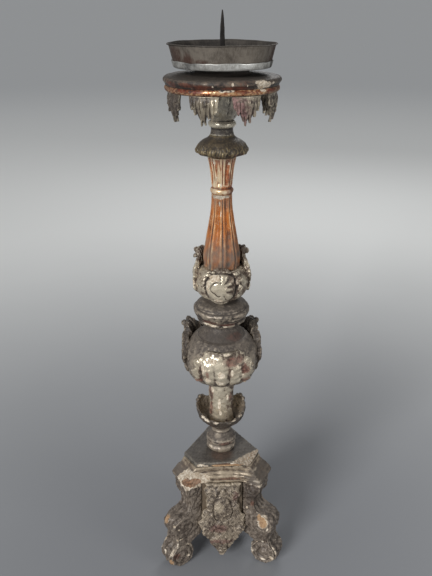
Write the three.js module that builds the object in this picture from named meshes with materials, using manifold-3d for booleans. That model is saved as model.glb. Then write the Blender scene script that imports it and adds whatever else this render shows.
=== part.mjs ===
// A carved and turned altar candlestick on a three-sided base, with an iron pricket and a loose drip pan.
// Millimetres, up is +Z and the front faces -Y. The origin is the middle of the box, on the floor.

import * as THREE from "three";
import { mergeVertices } from "three/addons/utils/BufferGeometryUtils.js";
import Module from "manifold-3d";

const wasm = await Module();
wasm.setup();

// Fits and facets
const clearance = 0.3;
const glueLine = 0.2;
const turnedSides = 22;
const roundSides = 30;
const pegSides = 12;

// Turned pegs that join the sections of the stem
const tenon = { radius: 8, length: 22, endGap: 1 };

// The base, from the floor up
const base = { sides: 3, firstLeg: 60 };
const leg = {
  height: 154,
  thickness: 34,
  rootRadius: 46,
  headRadius: 15,
  headOut: 62,
  kneeRadius: 21,
  kneeOut: 80,
  kneeHeight: 76,
  footRadius: 23,
  footOut: 84.5,
  padDepth: 1.5,
  volutePride: 1.5,
  archHeight: 60,
  frontRounding: 6,
};
const groove = { halfWidth: 1.8, turns: 1.3, start: 0.82, end: 0.27, steps: 10 };
const core = { inradius: 38, wall: 12, height: 100 };
const panel = {
  topHalfWidth: 28,
  waistHalfWidth: 25,
  skirtHalfWidth: 37.5,
  thickness: 7,
  bossHeight: 6,
  tipHeight: 14,
  headGap: 2,
};
const cornice = { height: 19, endRadius: 80, endHalfWidth: 22, inradius: 47, flatHalf: 27, edge: 4 };
const cavetto = { height: 10, depth: 3 };
const cap = { height: 8.5, endRadius: 58, endHalfWidth: 18, inradius: 44, edge: 1.5 };

// The sections of the stem, from the base up. In the outlines further on, the numbers are shares
// of these heights and radii, with small offsets in millimetres.
const bell = { height: 38.5, ring: 22.8, ringHeight: 14, skirt: 23.4, neck: 12.5, bead: 15 };
const dish = { height: 31, floor: 12, neck: 13, rim: 38.5, wall: 3.5, lobe: 3, lobes: 3 };
const stem = { height: 73, foot: 20, waist: 16.7, head: 19 };
const knop = { height: 97, foot: 19, belly: 55.5, groove: 36, neck: 22 };
const knopLeaf = {
  rootDepth: 15,
  tipDepth: 4.5,
  pride: 6,
  halfWidth: 55,
  tipRadius: 60,
  tipHeight: 86,
  count: 3,
  brokenAt: 75,
};
const saucer = { height: 38, neck: 22, lip: 35, rim: 41, top: 18, groove: 1.2 };
const calyx = { height: 50, foot: 17.5, belly: 38.5, mouth: 28 };
const calyxLeaf = {
  rootDepth: 14,
  tipDepth: 3.5,
  pride: 5.4,
  halfWidth: 41,
  tipRadius: 39,
  tipRise: 19,
  count: 3,
  brokenAt: 56,
};
const lowerShaft = { height: 106, foot: 25, belly: 26, top: 14.2 };
const upperShaft = { height: 51, ring: 16, ringHeight: 9, waist: 14.2, top: 19.5 };
const flute = { count: 8, depth: 2.2, stepsEach: 4 };
const collar = { height: 29, rim: 36.8, foot: 19.5, neck: 16, petals: 12, petalDepth: 2 };
const neckCup = { height: 57, neck: 14.6, ring: 18.4, ringHalf: 4.8, mouth: 35 };
const disc = { height: 21, nose: 76.6, torus: 74.5, cove: 0.8, underside: 72.7, tenonRadius: 16, tenonLength: 14 };
const boss = { height: 9, radius: 35 };
const valance = { count: 8, length: 35, topRadius: 72, tipRadius: 66, halfWidth: 20, thickness: 4.5 };

// The ironwork
const pricket = { width: 7, tipWidth: 1.4, height: 67, tang: 72, chamfer: 1, tangShare: 0.6 };
const pan = { bottom: 61.8, top: 68.2, rim: 71, height: 28.2, sheet: 1.3, holeGap: 0.7 };
const seam = { height: 8.5, under: 7, sheet: 1 };

const degrees = THREE.MathUtils.degToRad;

// A smooth run of [across, up] points through the given ones.
function spline(points, steps) {
  const curve = new THREE.SplineCurve(points.map(([x, y]) => new THREE.Vector2(x, y)));
  return curve.getPoints(steps).map((point) => [point.x, point.y]);
}

// A round run of [across, up] points.
function arc([x, y], radius, from, to, steps) {
  const points = [];
  for (let i = 0; i <= steps; i++) {
    const angle = degrees(from + ((to - from) * i) / steps);
    points.push([x + radius * Math.cos(angle), y + radius * Math.sin(angle)]);
  }
  return points;
}

// Value of a smooth curve through evenly spaced values, at a share from 0 to 1 of its length.
function along(values, share) {
  const curve = new THREE.SplineCurve(values.map((value, i) => new THREE.Vector2(i, value)));
  return curve.getPoint(share).y;
}

// Only positions and an index are kept, with shared corners merged, empty triangles dropped
// and the faces turned outwards.
function cleaned(geometry) {
  geometry.deleteAttribute("normal");
  geometry.deleteAttribute("uv");
  const merged = mergeVertices(geometry, 1e-4);
  const corner = (i) => new THREE.Vector3().fromBufferAttribute(merged.attributes.position, i);
  const index = [];
  let volume = 0;
  for (let i = 0; i < merged.index.count; i += 3) {
    const [a, b, c] = [0, 1, 2].map((k) => merged.index.getX(i + k));
    if (a !== b && b !== c && c !== a) {
      index.push(a, b, c);
      volume += corner(a).dot(corner(b).cross(corner(c))) / 6;
    }
  }
  merged.setIndex(volume < 0 ? index.reverse() : index);
  return merged;
}

function solid(geometry) {
  const clean = cleaned(geometry);
  const mesh = new wasm.Mesh({
    numProp: 3,
    vertProperties: new Float32Array(clean.attributes.position.array),
    triVerts: new Uint32Array(clean.index.array),
  });
  return new wasm.Manifold(mesh);
}

function geometryOf(body) {
  const mesh = body.getMesh();
  const geometry = new THREE.BufferGeometry();
  geometry.setAttribute("position", new THREE.BufferAttribute(mesh.vertProperties, 3));
  geometry.setIndex(new THREE.BufferAttribute(mesh.triVerts, 1));
  geometry.computeVertexNormals();
  return geometry;
}

// Turns a profile about the upright axis. Angles run from the front towards +X.
// carve(angle, radius, height) gives the carved [radius, height] of each point.
function turned(profile, sides = turnedSides, carve = null) {
  const points = profile.map(([radius, height]) => new THREE.Vector2(radius, height));
  const geometry = new THREE.LatheGeometry(points, sides);
  geometry.rotateX(Math.PI / 2);
  const position = geometry.attributes.position;
  for (let i = 0; carve && i < position.count; i++) {
    const angle = Math.atan2(position.getX(i), -position.getY(i));
    const radius = Math.hypot(position.getX(i), position.getY(i));
    const [newRadius, newHeight] = carve(angle, radius, position.getZ(i));
    position.setXYZ(i, newRadius * Math.sin(angle), -newRadius * Math.cos(angle), newHeight);
  }
  return solid(geometry);
}

// A round bar or hole between two heights.
function bar(radius, bottom, top) {
  return turned([[0, bottom], [radius, bottom], [radius, top], [0, top]], pegSides);
}

// A hole for a bar of the given radius, wide enough that its flats keep clear of the bar.
function bore(radius, bottom, top) {
  return bar((radius + clearance) / Math.cos(Math.PI / pegSides), bottom, top);
}

// A turned section: its outline, with a peg below and a socket above where it has them.
function section(outline, { peg = tenon.length, socket = true, sides, carve } = {}) {
  const height = outline.at(-1)[1];
  let body = turned([[0, outline[0][1]], ...outline, [0, height]], sides, carve);
  if (peg) {
    body = body.add(bar(tenon.radius, -peg, outline[0][1] + tenon.radius));
  }
  if (socket) {
    const depth = tenon.length + tenon.endGap;
    body = body.subtract(bore(tenon.radius, height - depth, height + 1));
  }
  return body;
}

// A closed plate between two faces, each a function of u across and v along, both from 0 to 1.
function plate(front, back, across, lengthwise) {
  const positions = [];
  const index = [];
  for (const face of [front, back]) {
    for (let j = 0; j <= lengthwise; j++) {
      for (let i = 0; i <= across; i++) positions.push(...face(i / across, j / lengthwise));
    }
  }
  const row = across + 1;
  const behind = row * (lengthwise + 1);
  const quad = (a, b, c, d) => index.push(a, b, c, a, c, d);
  for (let j = 0; j < lengthwise; j++) {
    for (let i = 0; i < across; i++) {
      const a = j * row + i;
      quad(a, a + 1, a + 1 + row, a + row);
      quad(behind + a, behind + a + row, behind + a + row + 1, behind + a + 1);
    }
    const left = j * row;
    const right = left + across;
    quad(left, left + row, behind + left + row, behind + left);
    quad(right, behind + right, behind + right + row, right + row);
  }
  for (let i = 0; i < across; i++) {
    const last = lengthwise * row + i;
    quad(i, behind + i, behind + i + 1, i + 1);
    quad(last, last + 1, behind + last + 1, behind + last);
  }
  const geometry = new THREE.BufferGeometry();
  geometry.setAttribute("position", new THREE.Float32BufferAttribute(positions, 3));
  geometry.setIndex(index);
  return solid(geometry);
}

// Depth of the notches in a leaf's edge, as a share of its half width.
const notchDepth = 0.12;

// A carved leaf that wraps the axis at the front. spine is a run of [radius, height] points from
// root to tip, halfWidths and depths its half width and thickness at even steps on the way. The
// edges are notched and the midrib is raised.
function leaf({ spine, halfWidths, depths, rib, notches, across, lengthwise }) {
  const curve = new THREE.SplineCurve(spine.map(([r, z]) => new THREE.Vector2(r, z)));
  const upward = Math.sign(spine.at(-1)[1] - spine[0][1]);
  const point = (u, v, depth) => {
    const centre = curve.getPoint(v);
    const tangent = curve.getTangent(v).multiplyScalar(upward);
    const side = 2 * u - 1;
    const notch = 1 - notchDepth * (1 - Math.cos(2 * Math.PI * notches * v)) * Math.abs(side);
    const width = along(halfWidths, v) * notch * side;
    const lift = rib * (1 - Math.abs(side) - side * side) - depth;
    const radius = centre.x + tangent.y * lift;
    const angle = width / centre.x;
    return [radius * Math.sin(angle), -radius * Math.cos(angle), centre.y - tangent.x * lift];
  };
  const front = (u, v) => point(u, v, 0);
  const back = (u, v) => point(u, v, along(depths, v));
  return plate(front, back, across, lengthwise);
}

// A leaf on a round belly is deep at its root, inside the belly, and thin where its tip stands clear.
function leafDepths({ rootDepth, tipDepth }, shares) {
  return shares.map((share) => tipDepth + share * (rootDepth - tipDepth));
}

// Plan of the base's boards: flat sides that flare out to blunt corners over the legs.
function boardPlan({ endRadius, endHalfWidth, inradius, flatHalf }) {
  const [sine, cosine] = [Math.sin(degrees(base.firstLeg)), Math.cos(degrees(base.firstLeg))];
  const endX = sine * endRadius - cosine * endHalfWidth;
  const endY = -cosine * endRadius - sine * endHalfWidth;
  const side = [[-endX, endY], [-flatHalf, -inradius], [flatHalf, -inradius], [endX, endY]];
  const plan = [];
  for (let k = 0; k < base.sides; k++) {
    const turn = (2 * Math.PI * k) / base.sides;
    for (const [x, y] of side) {
      plan.push([x * Math.cos(turn) - y * Math.sin(turn), x * Math.sin(turn) + y * Math.cos(turn)]);
    }
  }
  return plan;
}

// A solid through a stack of plans with equal counts of points, each with its height.
function lofted(levels) {
  const count = levels[0].plan.length;
  const positions = levels.flatMap(({ plan, z }) => plan.flatMap(([x, y]) => [x, y, z]));
  const index = [];
  for (let j = 0; j + 1 < levels.length; j++) {
    for (let i = 0; i < count; i++) {
      const [a, b] = [j * count + i, j * count + ((i + 1) % count)];
      index.push(a, b, b + count, a, b + count, a + count);
    }
  }
  const outline = (level) => level.plan.map(([x, y]) => new THREE.Vector2(x, y));
  for (const [a, b, c] of THREE.ShapeUtils.triangulateShape(outline(levels[0]), [])) {
    index.push(c, b, a);
  }
  const top = (levels.length - 1) * count;
  for (const [a, b, c] of THREE.ShapeUtils.triangulateShape(outline(levels.at(-1)), [])) {
    index.push(top + a, top + b, top + c);
  }
  const geometry = new THREE.BufferGeometry();
  geometry.setAttribute("position", new THREE.Float32BufferAttribute(positions, 3));
  geometry.setIndex(index);
  return solid(geometry);
}

// A flat shape in the radial plane, made thick across it. Across is +X and up is +Z.
function slab(points, thickness) {
  const shape = new THREE.Shape(points.map(([x, y]) => new THREE.Vector2(x, y)));
  const geometry = new THREE.ExtrudeGeometry(shape, { depth: thickness, bevelEnabled: false });
  geometry.rotateX(Math.PI / 2);
  geometry.translate(0, thickness / 2, 0);
  return solid(geometry);
}

// The groove of a volute on both faces of a leg, winding in from the rim to the eye.
function voluteGrooves([x, z], radius, halfThickness) {
  const corners = arc([0, 0], groove.halfWidth, 0, 270, 3);
  const gouge = new THREE.Shape(corners.map(([a, b]) => new THREE.Vector2(a, b)));
  const grooves = [];
  for (const face of [-1, 1]) {
    const points = [];
    for (let i = 0; i <= groove.steps; i++) {
      const share = i / groove.steps;
      const angle = degrees(90) + 2 * Math.PI * groove.turns * share;
      const reach = radius * (groove.start - (groove.start - groove.end) * share);
      points.push(
        new THREE.Vector3(x + reach * Math.cos(angle), face * halfThickness, z + reach * Math.sin(angle)),
      );
    }
    const path = new THREE.CatmullRomCurve3(points);
    const options = { extrudePath: path, steps: groove.steps, bevelEnabled: false };
    grooves.push(solid(new THREE.ExtrudeGeometry(gouge, options)));
  }
  return grooves;
}

// One leg, cut from a thick board as a double scroll: a head under the cornice, a knee and a foot.
function legBody() {
  const top = leg.height - glueLine;
  const root = leg.rootRadius + clearance;
  const head = [leg.headOut, top - leg.headRadius];
  const knee = [leg.kneeOut, leg.kneeHeight];
  const foot = [leg.footOut, leg.footRadius - leg.padDepth];
  const board = [
    [root, leg.archHeight],
    ...spline([
      [root + 1, leg.archHeight - 8],
      [foot[0] - leg.footRadius * 0.7, foot[1] + leg.footRadius * 0.75],
      foot,
    ], 5),
    ...spline([
      [foot[0] + leg.footRadius * 0.6, foot[1] + leg.footRadius * 0.6],
      [foot[0] + leg.footRadius * 0.42, (foot[1] + knee[1]) / 2 + 1],
      [knee[0] + leg.kneeRadius * 0.6, knee[1] - leg.kneeRadius * 0.6],
    ], 4),
    ...spline([
      [knee[0] + leg.kneeRadius * 0.3, knee[1] + leg.kneeRadius * 0.9],
      [head[0] + 6, knee[1] + leg.kneeRadius + 8],
      [head[0] + leg.headRadius * 0.5, head[1] - leg.headRadius * 0.75],
      [head[0] + leg.headRadius, head[1]],
    ], 5),
    [head[0] + leg.headRadius, top],
    [root, top],
  ];
  let body = slab(board, leg.thickness);
  const volutes = [
    [head, leg.headRadius],
    [knee, leg.kneeRadius],
    [foot, leg.footRadius],
  ];
  const halfThickness = leg.thickness / 2 + leg.volutePride;
  for (const [centre, radius] of volutes) {
    body = body.add(slab(arc(centre, radius, 0, 337.5, 15), 2 * halfThickness));
  }
  for (const [centre, radius] of volutes) {
    for (const cut of voluteGrooves(centre, radius, halfThickness)) body = body.subtract(cut);
  }
  const below = leg.padDepth + leg.footRadius;
  const floor = slab([[0, -below], [2 * leg.footOut, -below], [2 * leg.footOut, 0], [0, 0]], 4 * leg.thickness);
  return body.subtract(floor).intersect(legRound());
}

// Seen from above a leg is rounded at the front, across its whole thickness.
function legRound() {
  const reach = leg.footOut + leg.footRadius;
  const half = leg.thickness / 2 + leg.volutePride;
  const plan = [[0, -half], [reach - leg.frontRounding, -half]];
  for (const share of [-0.8, -0.4, 0, 0.4, 0.8]) {
    plan.push([reach - leg.frontRounding * share ** 2, share * half]);
  }
  plan.push([reach - leg.frontRounding, half], [0, half]);
  return lofted([{ plan, z: -1 }, { plan, z: leg.height + 1 }]);
}

// The hollow block behind the legs and panels, open below.
function coreBody() {
  const outer = blockPlan(core.inradius, leg.rootRadius);
  const inner = blockPlan(core.inradius - core.wall, leg.rootRadius - core.wall);
  const [bottom, top] = [leg.height - core.height, leg.height - glueLine];
  const block = lofted([{ plan: outer, z: bottom }, { plan: outer, z: top }]);
  return block.subtract(lofted([{ plan: inner, z: bottom - 1 }, { plan: inner, z: top + 1 }]));
}

// Plan of a block with three long sides and three cut corners.
function blockPlan(inradius, endRadius) {
  const halfSide = (endRadius - inradius * Math.cos(degrees(base.firstLeg))) / Math.sin(degrees(base.firstLeg));
  const plan = [];
  for (let k = 0; k < base.sides; k++) {
    const turn = (2 * Math.PI * k) / base.sides;
    for (const x of [-halfSide, halfSide]) {
      const [cosine, sine] = [Math.cos(turn), Math.sin(turn)];
      plan.push([x * cosine + inradius * sine, x * sine - inradius * cosine]);
    }
  }
  return plan;
}

// The carved cartouche on each side of the base: a shield with an oval boss and a hanging leaf.
function panelBody() {
  const back = core.inradius + clearance;
  const top = leg.height - panel.headGap;
  const widths = [
    panel.topHalfWidth,
    panel.topHalfWidth,
    panel.waistHalfWidth,
    panel.waistHalfWidth + 1,
    panel.skirtHalfWidth * 0.88,
    panel.skirtHalfWidth,
    panel.skirtHalfWidth * 0.9,
    panel.skirtHalfWidth * 0.66,
    panel.skirtHalfWidth * 0.44,
    panel.skirtHalfWidth * 0.1,
  ];
  const backHalfWidth = panel.waistHalfWidth - 1;
  const height = (v) => top - v * (top - panel.tipHeight);
  const front = (u, v) => {
    const side = 2 * u - 1;
    const bossShape = Math.max(0, 1 - (side / 0.55) ** 2 - ((v - 0.34) / 0.2) ** 2);
    const ridge = Math.exp(-(((Math.abs(side) - 0.78) / 0.16) ** 2)) * 2.5;
    const hanging = v > 0.6 ? 3 * (1 - Math.abs(side)) : 0;
    const depth = panel.thickness + panel.bossHeight * Math.sqrt(bossShape) + ridge + hanging;
    const rounded = depth * (1 - 0.45 * Math.abs(side) ** 4);
    return [side * along(widths, v), -back - rounded, height(v)];
  };
  const rear = (u, v) => {
    const side = 2 * u - 1;
    return [side * Math.min(backHalfWidth, along(widths, v)), -back, height(v)];
  };
  return plate(front, rear, 8, 9);
}

// The moulded board over the legs, with a hollow moulding above it. Its corners slope down from the cap.
function corniceBody() {
  const inset = (by) => boardPlan({
    endRadius: cornice.endRadius - by,
    endHalfWidth: cornice.endHalfWidth - by * 0.6,
    inradius: cornice.inradius - by * 0.7,
    flatHalf: cornice.flatHalf,
  });
  const capPlan = boardPlan({ ...cap, flatHalf: cornice.flatHalf });
  const shrink = (share) => inset(cornice.edge + cavetto.depth).map(
    ([x, y], i) => [x + (capPlan[i][0] - x) * share, y + (capPlan[i][1] - y) * share],
  );
  const body = lofted([
    { plan: inset(cornice.edge), z: 0 },
    { plan: inset(cornice.edge * 0.3), z: cornice.height * 0.2 },
    { plan: inset(0), z: cornice.height * 0.5 },
    { plan: inset(cornice.edge * 0.3), z: cornice.height * 0.8 },
    { plan: inset(cornice.edge), z: cornice.height },
    { plan: shrink(0), z: cornice.height + 0.5 },
    { plan: shrink(0.45), z: cornice.height + cavetto.height * 0.25 },
    { plan: shrink(0.75), z: cornice.height + cavetto.height * 0.6 },
    { plan: shrink(0.88), z: cornice.height + cavetto.height - glueLine },
  ]);
  const top = cornice.height + cavetto.height;
  let sloped = body.subtract(bore(tenon.radius, -1, top + 1));
  for (let k = 0; k < base.sides; k++) {
    const corner = degrees(base.firstLeg - 90 + (360 * k) / base.sides);
    const outwards = [-Math.cos(corner), -Math.sin(corner), -1];
    sloped = sloped.trimByPlane(outwards, -(cap.endRadius + top) / Math.SQRT2);
  }
  return sloped;
}

function capBody() {
  const inset = (by) => boardPlan({
    endRadius: cap.endRadius - by,
    endHalfWidth: cap.endHalfWidth - by * 0.6,
    inradius: cap.inradius - by,
    flatHalf: cornice.flatHalf,
  });
  const body = lofted([
    { plan: inset(cap.edge), z: 0 },
    { plan: inset(0), z: cap.edge },
    { plan: inset(0), z: cap.height - cap.edge },
    { plan: inset(cap.edge), z: cap.height },
  ]);
  return body.subtract(bore(tenon.radius, -1, cap.height + 1));
}

// The bell over the base: a rounded ring and a flaring skirt. Its peg goes down through both boards.
function bellBody() {
  const ringBulge = bell.ringHeight / 2 - glueLine;
  const outline = [
    [bell.ring - ringBulge, glueLine],
    ...arc([bell.ring - ringBulge, glueLine + ringBulge], ringBulge, -60, 80, 4),
    [bell.skirt - 3, bell.ringHeight + 1],
    [bell.skirt, bell.ringHeight + 3],
    ...spline([
      [bell.skirt - 0.8, bell.ringHeight + 8],
      [bell.neck + 5, bell.height * 0.72],
      [bell.neck, bell.height * 0.85],
    ], 3),
    ...arc([bell.bead - bell.height * 0.06, bell.height * 0.92], bell.height * 0.06, -60, 60, 2),
    [bell.neck, bell.height],
  ];
  return section(outline, { peg: cap.height + cavetto.height + cornice.height });
}

// The open dish with its three-lobed rim. The stem's peg passes through its floor.
function dishBody() {
  const inner = dish.rim - dish.wall;
  const floorRadius = stem.foot + 1;
  const profile = [
    [0, glueLine],
    [dish.neck, glueLine],
    ...spline([
      [dish.neck + 1, dish.height * 0.14],
      [dish.rim * 0.62, dish.height * 0.34],
      [dish.rim * 0.88, dish.height * 0.62],
      [dish.rim - 0.5, dish.height * 0.86],
    ], 4),
    [dish.rim, dish.height],
    [inner, dish.height],
    ...spline([
      [inner - 1, dish.height * 0.88],
      [inner * 0.86, dish.height * 0.6],
      [floorRadius, dish.floor],
    ], 3),
    [0, dish.floor],
  ];
  const carve = (angle, radius, height) => {
    const rise = Math.max(0, (height - dish.floor) / (dish.height - dish.floor)) ** 2;
    const wave = Math.cos(dish.lobes * angle) * rise;
    return [radius + dish.lobe * wave, height];
  };
  return turned(profile, dish.lobes * 10, carve).subtract(bore(tenon.radius, -1, dish.height));
}

function stemBody() {
  const outline = [
    [stem.foot, glueLine],
    ...spline([
      [stem.foot, 3],
      [stem.waist + 0.8, stem.height * 0.18],
      [stem.waist, stem.height * 0.4],
      [stem.head - 1, stem.height * 0.75],
      [stem.head, stem.height],
    ], 7),
  ];
  const peg = dish.floor + tenon.length;
  return section(outline, { peg });
}

// The same facets lie behind every leaf of the knop.
const knopSides = 8 * knopLeaf.count;

// Outline of the vase-shaped knop, from its foot to the neck above the grooved shoulder.
function knopOutline() {
  return [
    [knop.foot, glueLine],
    ...spline([
      [knop.foot + 4, knop.height * 0.026],
      [knop.belly * 0.74, knop.height * 0.088],
      [knop.belly * 0.93, knop.height * 0.206],
      [knop.belly, knop.height * 0.412],
      [knop.belly * 0.95, knop.height * 0.6],
      [knop.groove + 5, knop.height * 0.766],
      [knop.groove, knop.height * 0.794],
    ], 8),
    [knop.groove - 1.5, knop.height * 0.778],
    ...spline([
      [knop.groove - 3, knop.height * 0.8],
      [knop.neck + 5, knop.height * 0.876],
      [knop.neck, knop.height * 0.948],
      [knop.neck, knop.height],
    ], 4),
  ];
}

// A leaf on the knop. It hugs the belly, and its tip stands clear like a small handle, unless it
// has broken off.
function knopLeafBody(broken) {
  const outer = knop.belly + knopLeaf.pride;
  const body = leaf({
    spine: [
      [knop.belly * 0.87, knop.height * 0.13],
      [outer - 4.5, knop.height * 0.21],
      [outer, knop.height * 0.42],
      [outer - 1, knop.height * 0.62],
      [knopLeaf.tipRadius - 1, knop.height * 0.76],
      [knopLeaf.tipRadius - 1, knopLeaf.tipHeight - 5],
      [knopLeaf.tipRadius + 1, knopLeaf.tipHeight],
    ],
    halfWidths: [0.45, 0.8, 1, 0.85, 0.5, 0.25, 0.14].map((share) => share * knopLeaf.halfWidth),
    depths: leafDepths(knopLeaf, [1, 1, 0.95, 0.9, 0.75, 0.35, 0]),
    rib: 1.6,
    notches: 4,
    across: 6,
    lengthwise: 9,
  });
  const grown = (angle, radius, height) => [radius > 0 ? radius + 2 * glueLine : 0, height];
  const outline = knopOutline();
  const room = turned([[0, 0], ...outline, [0, knop.height]], knopSides, grown);
  const whole = body.subtract(room);
  return broken ? whole.trimByPlane([0, 0, -1], -knopLeaf.brokenAt) : whole;
}

// The domed saucer, with a groove round its dome and sides that slope in to a lip below.
function saucerBody() {
  const grooveAt = saucer.height * 0.7;
  const outline = [
    [saucer.neck, glueLine],
    [saucer.lip - 5, saucer.height * 0.1],
    [saucer.lip, saucer.height * 0.13],
    [saucer.lip + 1, saucer.height * 0.19],
    [saucer.lip + 1, saucer.height * 0.27],
    [saucer.rim - 1, saucer.height * 0.48],
    [saucer.rim, saucer.height * 0.58],
    [saucer.rim - 1, grooveAt - saucer.groove],
    [saucer.rim - 3 - saucer.groove, grooveAt],
    [saucer.rim - 3.4, grooveAt + saucer.groove],
    ...spline([
      [saucer.rim - 6, saucer.height * 0.83],
      [saucer.rim - 13, saucer.height * 0.93],
      [saucer.top + 3, saucer.height * 0.965],
      [saucer.top, saucer.height],
    ], 4),
  ];
  return section(outline);
}

// The calyx: a cup with three broad leaves carved on it, their tips curling out round the shaft.
// The front one has lost its tip, as the front leaf of the knop has.
function calyxBody() {
  const outline = [
    [calyx.foot, glueLine],
    ...spline([
      [calyx.foot, calyx.height * 0.06],
      [calyx.belly * 0.82, calyx.height * 0.16],
      [calyx.belly * 0.97, calyx.height * 0.38],
      [calyx.belly, calyx.height * 0.62],
      [calyx.belly * 0.9, calyx.height * 0.88],
      [calyx.mouth, calyx.height],
    ], 7),
  ];
  let body = section(outline);
  const outer = calyx.belly + calyxLeaf.pride;
  const blade = leaf({
    spine: [
      [calyx.belly * 0.8, calyx.height * 0.12],
      [outer - 3, calyx.height * 0.34],
      [outer, calyx.height * 0.66],
      [outer - 1.5, calyx.height * 0.92],
      [calyxLeaf.tipRadius - 3, calyx.height + calyxLeaf.tipRise * 0.55],
      [calyxLeaf.tipRadius - 2, calyx.height + calyxLeaf.tipRise * 0.85],
      [calyxLeaf.tipRadius + 2, calyx.height + calyxLeaf.tipRise],
    ],
    halfWidths: [0.5, 0.85, 1, 0.9, 0.55, 0.3, 0.14].map((share) => share * calyxLeaf.halfWidth),
    depths: leafDepths(calyxLeaf, [1, 1, 0.9, 0.65, 0.3, 0.1, 0]),
    rib: 1.4,
    notches: 4,
    across: 5,
    lengthwise: 8,
  });
  body = body.add(blade.trimByPlane([0, 0, -1], -calyxLeaf.brokenAt));
  for (let k = 1; k < calyxLeaf.count; k++) {
    body = body.add(blade.rotate([0, 0, (360 * k) / calyxLeaf.count]));
  }
  return body;
}

// Hollow flutes with ridges between them, one at the front, fading out where fade(height) is 0.
function fluted(fade) {
  return (angle, radius, height) => {
    const hollow = Math.sin((flute.count * angle) / 2) ** 2;
    return [radius > tenon.radius ? radius - flute.depth * hollow * fade(height) : radius, height];
  };
}

function lowerShaftBody() {
  const outline = [
    [lowerShaft.foot, glueLine],
    ...spline([
      [lowerShaft.foot, 4],
      [lowerShaft.belly, lowerShaft.height * 0.15],
      [lowerShaft.belly * 0.87, lowerShaft.height * 0.36],
      [lowerShaft.top * 1.2, lowerShaft.height * 0.66],
      [lowerShaft.top + 0.2, lowerShaft.height * 0.85],
      [lowerShaft.top, lowerShaft.height - 1],
    ], 7),
    [lowerShaft.top, lowerShaft.height],
  ];
  const fade = (height) => Math.min(1, Math.max(0, (lowerShaft.height - height) / 12));
  return section(outline, { sides: flute.count * flute.stepsEach, carve: fluted(fade) });
}

function upperShaftBody() {
  const half = upperShaft.ringHeight / 2;
  const outline = [
    [upperShaft.waist, glueLine],
    ...arc([upperShaft.ring - half, half + glueLine], half, -65, 65, 3),
    [upperShaft.waist - 0.4, upperShaft.ringHeight + 1.5],
    ...spline([
      [upperShaft.waist, upperShaft.ringHeight + 4],
      [upperShaft.waist * 1.08, upperShaft.height * 0.52],
      [upperShaft.waist * 1.2, upperShaft.height * 0.77],
      [upperShaft.top, upperShaft.height],
    ], 4),
  ];
  const start = upperShaft.ringHeight + 2;
  const fade = (height) => Math.min(1, Math.max(0, (height - start) / 6));
  return section(outline, { sides: flute.count * flute.stepsEach, carve: fluted(fade) });
}

// The drooping collar of petals over the shaft.
function collarBody() {
  const outline = [
    [collar.foot, glueLine],
    [collar.foot + 1, 1],
    [collar.rim - 4, collar.height * 0.2],
    [collar.rim - 0.6, collar.height * 0.27],
    ...spline([
      [collar.rim - 0.4, collar.height * 0.36],
      [collar.rim - 4, collar.height * 0.56],
      [collar.neck + 10, collar.height * 0.75],
      [collar.neck + 2.5, collar.height * 0.89],
      [collar.neck, collar.height],
    ], 5),
  ];
  const carve = (angle, radius, height) => {
    const reach = THREE.MathUtils.clamp((radius - collar.foot - 2) / (collar.rim - collar.foot), 0, 1);
    const petal = 1 - Math.abs(Math.cos((collar.petals * angle) / 2));
    return [radius - collar.petalDepth * petal * reach, height + collar.petalDepth * petal * reach];
  };
  return section(outline, { sides: collar.petals * 3, carve });
}

// The cup that carries the disc, with its ring and neck. The pricket's tang runs down its middle.
function neckCupBody() {
  const ringAt = neckCup.height * 0.25;
  const outline = [
    [collar.neck, glueLine],
    [neckCup.neck, neckCup.height * 0.09],
    [neckCup.neck, neckCup.height * 0.15],
    ...arc([neckCup.ring - neckCup.ringHalf, ringAt], neckCup.ringHalf, -70, 70, 4),
    ...spline([
      [neckCup.ring - 1, neckCup.height * 0.36],
      [neckCup.mouth * 0.72, neckCup.height * 0.56],
      [neckCup.mouth * 0.93, neckCup.height * 0.8],
      [neckCup.mouth, neckCup.height],
    ], 5),
  ];
  const depth = disc.tenonLength + tenon.endGap;
  const seat = bore(disc.tenonRadius, neckCup.height - depth, neckCup.height + 1);
  const hole = bore(tangCorner(), neckCup.height - tangDepth() - tenon.endGap, neckCup.height);
  return section(outline, { socket: false }).subtract(seat).subtract(hole);
}

// Depth of the tang below the disc, and reach of its corners from the axis.
function tangDepth() {
  return pricket.tang - disc.height - boss.height;
}

function tangCorner() {
  return Math.hypot(pricket.width / 2, pricket.width / 2 - pricket.chamfer);
}

// The disc: torus, cove and rounded nose, a sloping top and the boss under the pan.
function discBody() {
  const torusHalf = disc.height * 0.17;
  const noseHalf = disc.height * 0.19;
  const noseAt = disc.height * 0.73;
  const profile = [
    [0, -disc.tenonLength],
    [disc.tenonRadius, -disc.tenonLength],
    [disc.tenonRadius, glueLine],
    [disc.underside, glueLine],
    ...arc([disc.torus - torusHalf, glueLine + torusHalf + 0.5], torusHalf, -50, 70, 3),
    [disc.torus - disc.cove, disc.height * 0.44],
    ...arc([disc.nose - noseHalf, noseAt], noseHalf, -60, 80, 3),
    [boss.radius + 3, disc.height],
    [boss.radius, disc.height + 1.5],
    [boss.radius - 1, disc.height + boss.height],
    [0, disc.height + boss.height],
  ];
  const reach = disc.height + boss.height + 1;
  return turned(profile, roundSides).subtract(bore(tangCorner(), -disc.tenonLength - 1, reach));
}

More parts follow.
